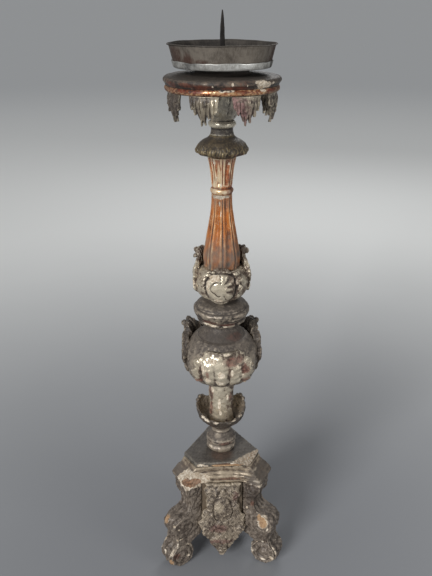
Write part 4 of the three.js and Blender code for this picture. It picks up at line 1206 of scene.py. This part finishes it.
def make_knop():
    outline = [
        (0, 0.2), (19, 0.2),
        *smooth_run([(23, 2.5), (41, 8.5), (51.6, 20), (55.5, 40), (52.7, 58.2), (41, 74.3), (36.2, 77)], 80),
        (35.6, 77.3), (34.6, 76.7), *smooth_run([(33, 78), (27, 85), (22.3, 91.8), (22, 96.8)], 20),
        (0, 96.8),
    ]

    def gouged(angle, radius, height, points):
        lower = step(radius, 20, 40) * (1 - step(height, 38, 62))
        flute = 1 - np.abs(np.cos(9 * angle + 0.4))
        rough = 0.35 * lumps(points, 14, 23) + 0.25 * lumps(points, 5, 24)
        return radius - lower * 1.5 * flute + rough * step(radius, 20, 30), height

    mesh = turned(outline, 260, 1.3, gouged)
    piece("knop_vase", mesh, "dusty_wood", "dusty_wood", "vase_knop", KNOP, depth=0.5)
    make_broken_leaf()
    for k in (1, 2):
        make_side_leaf(k)


def make_broken_leaf():
    """The front leaf of the knop, hanging in folds, with its tip broken off."""

    def folds(angle, points):
        """How far each point stands on a fold, and how the folds fade towards the top."""
        fold = np.abs(np.cos(8.5 * angle + 0.35 + 0.25 * lumps(points, 22, 62))) ** 0.8
        return fold, 1 - step(points[:, 2], 34, 62)

    def draped(angle, radius, height, points):
        fold, fade = folds(angle, points)
        hem = 1 - step(height, 16, 32)
        return radius + fade * (3.2 * fold - 2.0), height - 2.5 * hem * (fold - 0.4)

    spine = [(52, 17.5), (57.5, 24.5), (61, 41), (60, 60), (57.5, 72)]
    relief = closing(acanthus(3, 0.6, 0.3, 0.35))
    mesh = leaf(spine, [42, 51, 55, 47, 33], [9, 11, 11, 8, 6], relief, notched(4, 0.16), 110, 130)
    carve(mesh, draped)
    bm = as_bmesh(mesh)
    ball(bm, on_axis(58, 2, 71.5), (9, 3.4, 3.4), 0.3)
    mesh = fused(as_mesh(bm), 0.85, 3)
    emboss(mesh, lambda points, outward: 0.5 * lumps(points, 9, 25) + 0.12 * lumps(points, 3.5, 28))
    points = positions(mesh)
    fold, fade = folds(around(points)[0], points)
    darkened = 0.9 * step(points[:, 2], 58, 66) * np.clip(0.7 + lumps(points, 9, 61), 0, 1)
    piece(
        "knop_acanthus_1", mesh, "silvered_wood", "silvered_wood", "knop_leaf_1", KNOP, rounds=26, depth=0.5,
        grime=np.clip(darkened + 1.1 * (1 - fold) ** 1.5 * fade, 0, 0.9),
    )


def make_side_leaf(k):
    """A whole leaf of the knop, with a curled tip that stands clear."""
    spine = [(44, 10.5), (53.5, 20.4), (60.5, 38), (61, 58), (59, 74), (59, 81), (61, 86)]
    widths, thick = [25, 44, 55, 47, 29, 16, 9], [12, 13, 13, 12, 11, 8, 4.5]
    bm = as_bmesh(leaf(spine, widths, thick, acanthus(4, 1.6, 0.4, 1.0), notched(5, 0.14), 110, 130))
    ball(bm, on_axis(59.5, -6, 86), (4.4, 4.2, 4.8))
    ball(bm, on_axis(60, 6.5, 84.5), (4.2, 4.4, 4.6))
    ball(bm, on_axis(57, 0, 79), (7.5, 5.5, 8))
    mesh = fused(as_mesh(bm), 0.85, 3)
    emboss(mesh, lambda points, outward: 0.5 * lumps(points, 9, 25 + k) + 0.3 * lumps(points, 3.5, 28))
    points = positions(mesh)
    darkened = np.clip(0.5 + 0.35 * step(points[:, 2], 50, 74) + 0.5 * lumps(points, 12, 29 + k), 0, 1)
    piece(
        f"knop_acanthus_{k + 1}", mesh, "aged_wood", "silvered_wood", f"knop_leaf_{k + 1}", KNOP, 120 * k,
        rounds=26, depth=0.8, grime=0.35 * darkened,
    )


def make_saucer():
    outline = [
        (0, 0.2), (22, 0.2), (29, 3.6), (34.2, 4.4), (35.4, 5.4), (35.9, 7), (35.6, 9), (35.9, 10.4),
        *smooth_run([(36.4, 11.2), (39.6, 17.5), (41, 22.4), (40, 25.2)], 16), (38.6, 26.2), (37.4, 26.5),
        (37.8, 27.6), *smooth_run([(37.3, 28.4), (34.6, 31.8), (28, 35.2), (21, 36.6), (18, 37.8)], 22),
        (0, 37.8),
    ]

    def worn(angle, radius, height, points):
        lip = step(radius, 31, 34) * (1 - step(height, 9, 12))
        chips = lip * np.clip(lumps(points, 12, 31), 0, 1) * 1.8
        rough = 0.35 * lumps(points, 15, 32) + 0.25 * lumps(points, 6, 33)
        return radius - chips + rough * step(radius, 18, 26), height

    mesh = turned(outline, 240, 1.1, worn)
    points = positions(mesh)
    streak = lumps(points * (0.3, 0.3, 2.2), 9, 34)
    top = step(points[:, 2], 24, 30)
    piece(
        "saucer_bun", mesh, "dusty_wood", "dusty_wood", "saucer", SAUCER,
        grime=np.clip(0.3 + 0.35 * top - 0.5 * streak, 0, 0.85),
        shine=np.clip(streak - 0.1, 0, 0.9) * (1 - top),
    )


def shell_boss(points):
    """Carving of the round boss on the front of the calyx, and how rough the surface stays there."""
    loose = strayed(points, 1.2, 16, 63)
    x, z = loose[:, 0] + 3, loose[:, 2] - 31
    front = (points[:, 1] < -20) & (np.abs(x) < 27) & (np.abs(z) < 26)
    reach = np.hypot(x / 21.5, z / 21.5)
    right = step(x, -6, 4)
    shell = 1.5 * (np.abs(np.cos(4.5 * np.arctan2(z, x) + 0.6)) - 1)
    shell = shell * step(reach, 0.2, 0.5) * (1 - step(reach, 0.92, 1.0)) * right
    rim = -1.8 * hump(reach, 1.05, 0.07)
    crescent = -1.2 * hump(np.hypot(x + 5, z) / 10, 1.0, 0.12) * (1 - right) * (reach < 0.9)
    return np.where(front, shell + rim + crescent, 0), np.where(front & (reach < 1), 0.45, 1)


def make_calyx():
    outline = [
        (0, 0.2), (17.5, 0.2),
        *smooth_run([(17.5, 3), (31.5, 8), (37.3, 19), (38.5, 31), (34.7, 44), (28, 49.6)], 50), (0, 49.6),
    ]
    bm = as_bmesh(turned(outline, 180, 1.2))
    for k in range(3):
        spine = [(30.8, 6), (41, 17), (43.5, 33), (42.3, 46), (39, 55)]
        widths, thick = [19, 29, 33, 31, 24], [13, 13, 12, 9, 6]
        if k:
            spine = [(30.8, 6), (41, 17), (43.6, 33), (42.3, 46), (37.2, 60), (37.4, 66), (40.6, 69)]
            widths, thick = [20, 34, 41, 37, 23, 13, 7], [13, 13, 12, 8, 5, 5, 4]
        leafwork = as_bmesh(leaf(spine, widths, thick, acanthus(4, 1.4, 0.4), notched(4, 0.2), 80, 100))
        if k:
            ball(leafwork, on_axis(39.2, -9, 67.5), (4.0, 3.6, 4.2))
            ball(leafwork, on_axis(39.6, 4, 69), (3.8, 3.8, 4.0))
            ball(leafwork, on_axis(38, 0, 64), (5, 3.4, 5))
            ball(leafwork, on_axis(39, 14, 62), (3, 3, 3.2))
        else:
            # The big round boss on the front leaf, and lumps of foliage along its top
            ball(leafwork, on_axis(32, -5, 31), (22.5, 13.8, 27))
            for place, height, size in ((-31, 48, 4.5), (-19, 52.5, 3.6), (11, 53.5, 4.4), (25, 50, 3.8)):
                ball(leafwork, on_axis(39.5, place, height), (size, 2.6, 3.2), 0.5)
        turn = Matrix.Rotation(math.radians(120 * k), 3, "Z")
        bmesh.ops.rotate(leafwork, verts=leafwork.verts, cent=(0, 0, 0), matrix=turn)
        bm.from_mesh(as_mesh(leafwork))
    mesh = fused(as_mesh(bm), 0.75, 3)

    def cut(points, outward):
        carved, rough = shell_boss(points)
        return carved + rough * (0.4 * lumps(points, 8, 35) + 0.22 * lumps(points, 3.2, 36))

    emboss(mesh, cut)
    points = positions(mesh)
    angle, _ = around(points)
    height = points[:, 2]
    # Painted shade on the right side below the top; the band along the top and random patches are darker too
    right = step(angle, 0.05, 0.5) * (1 - step(angle, 1.2, 1.7)) * (1 - step(height, 46, 52))
    darkened = 0.75 * step(height, 50, 60) + 0.35 * right + 0.25 * lumps(points, 14, 39)
    piece(
        "calyx_carved", mesh, "silvered_wood", "silvered_wood", "calyx", CALYX, rounds=26, depth=0.45,
        grime=np.clip(darkened - 0.8 * shell_boss(points)[0], 0, 1),
    )


def make_stem():
    outline = [
        (0, 0.2), (20, 0.2), *smooth_run([(20, 3), (18.6, 13.1), (18, 29), (19.2, 54.8), (20, 72.8)], 58),
        (0, 72.8),
    ]

    def carved(angle, radius, height, points):
        fold = (1 - np.abs(np.cos(4.5 * angle + 0.5))) * step(height, 48, 66)
        rough = 0.5 * lumps(points, 11, 37) + 0.15 * lumps(points, 4.5, 38)
        return radius + step(radius, 5, 12) * (rough - 1.2 * fold), height

    mesh = turned(outline, 160, 1.2, carved)
    points = positions(mesh)
    angle, _ = around(points)
    # Painted shade down the right side, with darker vertical runs all round
    side = step(angle, 0.45, 1.1) * (1 - step(angle, 1.8, 2.4))
    runs = lumps(points * (1, 1, 0.3), 7, 50)
    darkened = np.clip(side * (0.5 + 0.5 * lumps(points, 12, 49)) + 0.5 * (runs - 0.2), 0, 0.9)
    piece("stem_waisted", mesh, "silvered_wood", "silvered_wood", "stem_column", STEM, grime=darkened)


def make_dish():
    outline = [
        (0, 0.2), (13, 0.2), *smooth_run([(14, 4.3), (24, 10.5), (33.8, 19.2), (37.6, 26)], 26), (38.5, 29.6),
        (37.8, 31), (35.6, 30.8), *smooth_run([(34.6, 27.3), (30.4, 18.6), (21, 12)], 18), (0, 12),
    ]

    def lobed(angle, radius, height, points):
        up = np.maximum(0, (height - 12) / 19) ** 2
        leafy = (1 - np.abs(np.cos(12 * angle + 0.3 * lumps(points, 15, 46)))) * step(radius, 18, 30)
        wave = 3 * np.cos(3 * angle) * up
        raised = 8.5 * hump(np.abs(angle), 2.2, 0.55) * up
        fray = 1.1 * lumps(points, 7, 41) * step(height, 26, 31)
        rough = 0.3 * lumps(points, 10, 42) + 0.2 * lumps(points, 4, 48)
        return radius + wave - 0.9 * leafy + rough * step(radius, 10, 20), height + fray + raised

    bm = as_bmesh(turned(outline, 210, 1.1, lobed))
    for centre in (125, -125):
        for turn, height, size in ((-9, 38, 3.6), (1, 40, 4.2), (10, 37.5, 3.4)):
            ball(bm, on_axis(39.6, centre + turn, height), (size, 3.2, size), 0, math.radians(centre))
    ball(bm, on_axis(39.4, 14, 29), (4.6, 2.4, 2.2), 0, math.radians(14))
    ball(bm, on_axis(39.2, -16, 28.6), (4.4, 2.4, 2.2), 0, math.radians(-16))
    mesh = fused(as_mesh(bm), 0.7, 2)
    points = positions(mesh)
    _, radius = around(points)
    facing = (normals(mesh)[:, :2] * points[:, :2]).sum(1) / np.maximum(radius, 1)
    inside = (1 - step(facing, -0.6, 0.1)) * step(radius, 15, 24) * step(points[:, 2], 11, 16)
    # Painted light: the inside of the bowl is lightened with rubbed leaf and gesso flecks
    piece(
        "dish_lobed", mesh, "aged_wood", "silvered_wood", "leaf_dish", DISH, rounds=20, depth=0.9,
        grime=0.15 * (1 - inside), shine=0.9 * inside, gesso=0.3 * inside,
    )


def make_bell():
    outline = [
        (0, 0.2), (16, 0.2), *arc((16.1, 7), 6.7, -75, 75, 14), (20.2, 14.4), (21.4, 15.2), (23.2, 16.4),
        (23.3, 17.6), *smooth_run([(22.6, 22.5), (17.4, 27.7), (12.7, 32.7)], 16),
        *arc((12.6, 35.4), 2.4, -70, 75, 8), (12.5, 38.3), (0, 38.3),
    ]

    def worn(angle, radius, height, points):
        rough = 0.25 * lumps(points, 13, 43) + 0.18 * lumps(points, 5, 44)
        return radius + rough * step(radius, 5, 10), height

    piece("bell_ring", turned(outline, 180, 1.0, worn), "dusty_wood", "silvered_wood", "bell_foot", BELL)


# ---------------------------------------------------------------- the base

# The break at the left front corner: where it is, its half sizes, its depth and its seed
BREAK, BREAK_SIZE = (-48.6, -48.5, 157), (18, 11.5, 4.5, 53)


def broken_off(mesh, point, direction, seed):
    """Breaks away what lies beyond a plane, and gives the strength of the break at each point."""
    points = positions(mesh)
    away = np.array(direction, float)
    away /= np.linalg.norm(away)
    beyond = (points - np.array(point, float)) @ away + 0.5 * lumps(points, 7, seed)
    set_positions(mesh, points - away * np.clip(beyond, 0, None)[:, None])
    return np.clip((beyond + 0.5) * 1.2, 0, 1)


def bitten(mesh, centre, inward, across, up, depth, seed):
    """Scoops a shallow broken hollow, and gives how far each point lies from its middle, 1 at its rim."""
    points = positions(mesh)
    gap = points - np.array(centre, float)
    gap[:, :2] += 1.6 * np.stack([lumps(points, 8, seed), lumps(points, 8, seed + 1)], 1)
    way = np.array([math.cos(inward), math.sin(inward)])
    along = gap[:, :2] @ way
    aside = gap[:, 0] * -way[1] + gap[:, 1] * way[0]
    reach = np.hypot(aside / across, gap[:, 2] / up)
    near = np.abs(along) < 3 * depth
    push = np.clip(depth * np.sqrt(np.clip(1 - reach**2, 0, 1)) - along, 0, None)
    points[:, :2] += way * np.where(near & (reach < 1), push, 0)[:, None]
    set_positions(mesh, points)
    return np.where(near, reach, 9)


def break_marks(reach, points):
    """Bare wood in the middle of the break and white gesso round it, most above."""
    above = step(points[:, 2], BREAK[2] - 6, BREAK[2] + 8)
    ring = 1 - step(reach, 1.0 + 0.55 * above, 1.25 + 0.7 * above)
    ring = ring * (1 - 0.4 * (1 - above) * step(reach, 1.0, 1.1))
    wood = 1 - step(reach, 0.74, 0.9)
    dust = 0.5 * wood * np.clip(0.7 + lumps(points, 9, 64), 0, 1)
    return {"bare": wood, "gesso": ring, "bole": wood, "dust": dust}


def make_boards():
    """The moulded cornice and the cap over it, both with broken corners."""
    mesh = fused(copy_of("base_cornice"), 0.95, 6)

    def moulded(points, outward):
        level = points[:, 2] - CORNICE
        lines = -0.9 * hump(level, 5, 1.1) - 1.1 * hump(level, 14.6, 1.2)
        rough = 0.45 * lumps(points, 17, 51) + 0.3 * lumps(points * (0.35, 0.35, 1), 5, 52)
        return (1 - np.abs(outward[:, 2])) * lines + rough

    emboss(mesh, moulded)
    reach = bitten(mesh, BREAK, math.pi / 2, *BREAK_SIZE)
    points = positions(mesh)
    corner = step(around(points)[1], 58, 68) * (reach > 1.6)
    corner = corner * np.clip(0.8 + 0.4 * lumps(points, 14, 65), 0, 1)
    streak = lumps(points * (0.2, 0.2, 2), 8, 69)
    marks = break_marks(reach, points)
    marks["dust"] = np.maximum(marks["dust"], 0.85 * corner)
    piece(
        "cornice_moulded", mesh, "cornice_wood", "aged_wood", "base_cornice", rounds=30, depth=0.5,
        grime=np.clip(0.85 * corner - 0.25 * streak, 0, 0.9),
        shine=np.clip(0.5 * streak, 0, 0.5) * (1 - corner), **marks,
    )

    mesh = fused(copy_of("base_cap"), 0.85, 4)
    emboss(mesh, lambda points, outward: 0.3 * lumps(points, 21, 54) + 0.22 * lumps(points, 6, 55))
    right = broken_off(mesh, (34, -29, 191.2), (0.27, -0.365, 0.89), 56)
    pale = right * np.clip(0.75 + 0.9 * lumps(positions(mesh), 9, 47), 0, 1)
    piece(
        "cap_board", mesh, "slate_wood", "dusty_wood", "base_cap",
        bare=right * 0.45, gesso=right, dust=0.5 * pale,
    )


def spiral(a, b, centre, radius, turns=1.6, inner=0.2, flip=1):
    """Distance from a winding groove round a centre, in millimetres."""
    a, b = a - centre[0], (b - centre[1]) * flip
    reach = np.hypot(a, b)
    angle = (np.arctan2(b, a) - math.pi / 2) / FULL_TURN
    nearest = np.full(len(reach), 99.0)
    for k in range(-1, 3):
        share = (angle + k) / turns
        groove = radius * (0.84 - (0.84 - inner) * share)
        gap = np.where((share > -0.02) & (share < 1), np.abs(reach - groove), 99)
        nearest = np.minimum(nearest, gap)
    return nearest


# Turns of the legs, and the distance out, height and radius of their three scrolls
LEG_TURNS = {1: -30, 2: 90, 3: 210}
HEAD, KNEE, FOOT = (62, 138.8, 15), (80, 76, 21), (84.5, 21.5, 23)


def leg_block():
    """A leg before its carving: a thick sawn board with stepped discs for its scrolls."""
    run = [
        (46.3, 60), *smooth_run([(47.3, 52), (68.4, 38.8), (84.5, 21.5)], 8),
        *smooth_run([(98.3, 35.3), (94.2, 49.8), (92.6, 63.4)], 6),
        *smooth_run([(86.3, 94.9), (68, 105), (69.5, 127.5), (77, 138.8)], 14), (77, 153.8), (46.3, 153.8),
    ]
    bm = bmesh.new()
    board = bm.faces.new([bm.verts.new((r * MM, -17 * MM, z * MM)) for r, z in run])
    pushed = bmesh.ops.extrude_face_region(bm, geom=[board])["geom"]
    moved = [v for v in pushed if isinstance(v, bmesh.types.BMVert)]
    bmesh.ops.translate(bm, verts=moved, vec=(0, 34 * MM, 0))
    for (r, z, radius), half in ((HEAD, 18), (KNEE, 18.4), (FOOT, 18.4)):
        matrix = Matrix.Translation((r * MM, 0, z * MM)) @ Matrix.Rotation(math.pi / 2, 4, "X")
        for wide, deep in ((radius, half - 3), (radius - 2.2, half - 0.6), (radius * 0.62, half + 0.2)):
            bmesh.ops.create_cone(
                bm, cap_ends=True, segments=72, radius1=wide * MM, radius2=wide * MM,
                depth=2 * deep * MM, matrix=matrix,
            )
        for side in (-1, 1):
            ball(bm, (r, side * half, z), (radius * 0.24, 1.8, radius * 0.24))
    # Toes of the foot and the leaf that swells over the knee
    for side in (-11.5, 0, 11.5):
        ball(bm, (98.5 - abs(side) * 0.2, side, 14), (8.4, 6.6, 11.5))
        ball(bm, (93.0 - abs(side) * 0.2, side, 84 - abs(side) * 0.3), (7.5, 5.8, 11))
        ball(bm, (94.5 - abs(side) * 0.2, side * 0.8, 66), (6, 5.0, 7))
    bmesh.ops.recalc_face_normals(bm, faces=bm.faces)
    return fused(as_mesh(bm), 1.15, 6)


def leg_carving(seed):
    """Depth of the carving on a leg, with out, side and up as its own directions."""

    def depth(points, outward):
        out, side, up = strayed(points, 1.3, 22, seed + 40).T
        wide = np.abs(side)
        face = step(np.abs(outward[:, 1]), 0.5, 0.9)
        front = 1 - face
        cut = np.zeros(len(points))
        for (r, z, radius), flip, strength in ((HEAD, 1, 1.6), (KNEE, -1, 1.0), (FOOT, 1, 2.3)):
            cut -= face * strength * hump(spiral(out, up, (r, z), radius, flip=flip), 0, 1.5)
        shank = step(up, 96, 104) * (1 - step(up, 134, 144))
        cut += front * shank * 1.8 * (waves(side / 8.6) ** 0.8 - 1)
        knee = front * hump(up, 80, 20)
        slant = 2.4 * np.arctan2(up - KNEE[1], out - KNEE[0]) + wide / 6.5
        cut += knee * ((waves(slant / 1.5)) ** 0.7 - 1) - knee * hump(wide, 2.6, 1.0)
        foot = front * (1 - step(up, 42, 52))
        cut += foot * 1.5 * (waves(side / 11.5) ** 0.6 - 1)
        cut -= foot * 1.3 * hump(np.arctan2(up - FOOT[1], out - FOOT[0]), 0.75, 0.1)
        cut -= front * hump(up, 46, 3.5) * 1.6
        veins = 1 - np.abs(np.cos(out / 5.5 + up / 9))
        cut -= face * veins * (1 - step(np.abs(up - 108), 10, 16))
        cut -= step(wide, 11, 18.5) * step(out, 70, 92) * 2.4 * front
        cut -= 4.5 * step(out, 88, 104) * (1 - step(up, 0, 13))
        for k, (amount, size) in enumerate(((0.8, 13), (0.5, 6), (0.28, 3))):
            cut += amount * lumps(points, size, seed + k)
        return cut - 0.5

    return depth


def make_legs():
    block = leg_block()
    for k, turn in LEG_TURNS.items():
        mesh = block.copy()
        emboss(mesh, leg_carving(60 + 3 * k))
        points = positions(mesh)
        points[:, 2] = np.maximum(points[:, 2], CLEAR)
        set_positions(mesh, points)
        # The rim of the foot's scroll is chipped down to the gesso
        r, z, radius = FOOT
        rim = hump(np.hypot(points[:, 0] - r, points[:, 2] - z), radius - 1.5, 1.9)
        chipped = step(lumps(points, 11, 66 + k), -0.1, 0.15)
        marks = {"gesso": rim * chipped * step(np.abs(points[:, 1]), 10, 14)}
        if k == 3:
            # The break at the corner of the cornice goes on over the head of this leg
            a = math.radians(turn)
            x, y, z = BREAK
            centre = (x * math.cos(a) + y * math.sin(a), y * math.cos(a) - x * math.sin(a), z)
            reach = bitten(mesh, centre, math.pi / 2 - a, *BREAK_SIZE)
            broken = break_marks(reach, positions(mesh))
            marks = {**broken, "gesso": np.maximum(broken["gesso"], marks["gesso"])}
        name = f"leg_carved_{k}"
        piece(name, mesh, "leg_wood", "aged_wood", f"scroll_leg_{k}", 0, turn, rounds=30, depth=1.9, **marks)


def shield_relief(x, z, side):
    """Carving of a panel's shield, standing out from its board."""
    wide, reach = np.abs(x), np.abs(side)
    value = 9.0 - 2.5 * reach**4
    # A scroll on each side of the top, and a small one where the shield narrows
    for centre, radius, strength in (((17.5, 133), 11, 3.2), ((20, 108), 8, 2.4), ((26, 62), 9, 2.4)):
        gap = np.hypot(wide - centre[0], z - centre[1])
        value += strength * (1 - step(gap, radius * 0.7, radius * 1.2))
        value -= 1.0 * hump(spiral(wide, z, centre, radius, 1.5, 0.25), 0, 1.3)
    # A palmette under the cornice
    lobe = np.abs(np.cos(3.2 * np.arctan2(x, 148 - z)))
    value += 3.0 * lobe * hump(np.hypot(x, 148 - z), 15, 8) * (1 - step(wide, 11, 15))
    # The boss, veined like a shell
    boss = 1 - (x / 15.5) ** 2 - ((z - 103) / 23) ** 2
    shell = np.abs(np.cos(4 * np.arctan2(x, z - 78)))
    value += np.sqrt(np.clip(boss, 0, 1)) * (5.0 - 1.6 * (1 - shell))
    value -= 1.6 * hump(boss, -0.02, 0.12)
    # Folds that spread over the skirt
    skirt = step(92 - z, 0, 16) * (1 - step(34 - z, 0, 8))
    fold = np.abs(np.cos(5.5 * np.arctan2(x, 112 - z) + 0.2 * np.sin(z / 5)))
    value += skirt * (2.8 * fold**0.8 - 1.2 + 1.6 * hump(reach, 0.9, 0.14))
    # A hanging leaf with a curl at its tip
    value += step(48 - z, 0, 10) * (hump(x, 0, 6.5) * 3.2 - 1.5 * hump(wide, 7.5, 1.6))
    value += 1.8 * hump(np.hypot(wide - 3.4, z - 26), 3.2, 1.3)
    return value


def make_panels():
    """The carved shield on each side of the base."""
    top, foot, board = 152, 14, -38.3
    widths = [28, 28, 25, 26, 33, 37.5, 33.5, 24.5, 16, 5]
    for k in range(3):
        mesh, side, v, back = plate(130, 220)
        z = foot + (top - foot) * v
        width = np.interp(1 - v, np.linspace(0, 1, len(widths)), widths)
        bumpy = 0.055 * np.sin(z / 3.4 + 1.3 * np.sign(side)) + 0.03 * np.sin(z / 1.7 + k)
        width = width * (1 + bumpy * step(np.abs(side), 0.5, 1))
        x = side * width
        z = z + 1.6 * np.sin(x / 4.2 + k) * (1 - step(v, 0, 0.12)) * step(np.abs(side), 0, 0.5)
        x = np.where(back, side * np.minimum(24, width), x)
        points = np.stack([x, np.zeros(len(x)), z], 1)
        loose = strayed(points, 1.3, 20, 90 + k)
        depth = shield_relief(loose[:, 0], loose[:, 2], side)
        depth += 0.8 * lumps(points, 9, 80 + k) + 0.45 * lumps(points, 4, 84 + k)
        rim = step(np.abs(side), 0.94, 1.0)
        points[:, 1] = np.where(back, board, board - depth * (1 - 0.35 * rim))
        set_positions(mesh, points)
        piece(
            f"panel_shield_{k + 1}", settled(mesh), "mossy_wood", "aged_wood", f"cartouche_panel_{k + 1}",
            0, 120 * k, rounds=30, depth=1.0,
        )


# ---------------------------------------------------------------- camera, light and floor


def make_camera():
    data = bpy.data.cameras.new("camera")
    data.lens = 43.75
    data.sensor_width = 36
    turn, pitch, away, height, aside = math.radians(3), 22.7, 0.936, 0.8564, 0.008
    forward = Vector((math.sin(turn), math.cos(turn), 0))
    right = Vector((math.cos(turn), -math.sin(turn), 0))
    camera = bpy.data.objects.new("camera", data)
    camera.location = Vector((0, AXIS_Y, height)) - forward * away - right * aside
    camera.rotation_euler = (math.radians(90 - pitch), 0, -turn)
    bpy.context.scene.collection.objects.link(camera)
    bpy.context.scene.camera = camera


def make_lamp(name, kind, place, target, **settings):
    data = bpy.data.lights.new(name, kind)
    for key, value in settings.items():
        setattr(data, key, value)
    lamp = bpy.data.objects.new(name, data)
    lamp.location = place
    lamp.rotation_euler = (Vector(target) - Vector(place)).to_track_quat("-Z", "Y").to_euler()
    bpy.context.scene.collection.objects.link(lamp)


def make_studio():
    world = bpy.data.worlds.new("studio")
    bpy.context.scene.world = world
    world.use_nodes = True
    background = world.node_tree.nodes["Background"]
    background.inputs["Color"].default_value = colour("#c9cbce")
    background.inputs["Strength"].default_value = 0.38
    middle, disk = (0, 0, 0.4), {"shape": "DISK", "size": 1.2}
    make_lamp("window", "SUN", (-1.3, -1.75, 1.25), (0, 0, 0.35), energy=2.5, angle=math.radians(24))
    make_lamp("fill", "AREA", (1.9, -1.4, 0.9), middle, **disk, energy=9)
    make_lamp("back_window", "AREA", (0.6, 2.2, 1.8), middle, **disk, energy=13)

    bm = bmesh.new()
    bmesh.ops.create_grid(bm, x_segments=4, y_segments=4, size=400)
    floor = bpy.data.objects.new("floor", as_mesh(bm))
    bpy.context.scene.collection.objects.link(floor)
    material, tree = new_material("floor_paper")
    away = put(tree, "VectorMath", {0: put(tree, "TexCoord", None, "Object")}, "Value", operation="LENGTH")
    # The floor is painted darker round the candlestick as painted shade, paler a metre or two out as painted
    # light, and mid grey far off
    near = rise(speckle(tree, 3, 2) * 0.1 + away, 0.1, 1.9)
    tint = blend(near, colour("#8f9195"), colour("#e2e3e1"))
    tint = blend(rise(away, 2.2, 7), tint, colour("#bcbebf"))
    fill(tree, tree.nodes["Principled BSDF"].inputs, {"Base Color": tint, "Roughness": 0.85})
    floor.data.materials.append(material)


make_camera()
FINISHES = make_finishes()
make_pricket()
make_pan_wall()
make_pan_floor()
make_pan_strip()
make_disc()
make_valance()
make_neck()
make_collar()
make_shafts()
make_knop()
make_saucer()
make_calyx()
make_stem()
make_dish()
make_bell()
make_boards()
make_legs()
make_panels()

# The hollow block behind the legs stays as it is in the frame, with its own finish
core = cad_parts["base_core"]
for place in core.material_slots:
    place.material = FINISHES["core_wood"]

make_studio()
bpy.context.scene.view_settings.view_transform = "Standard"
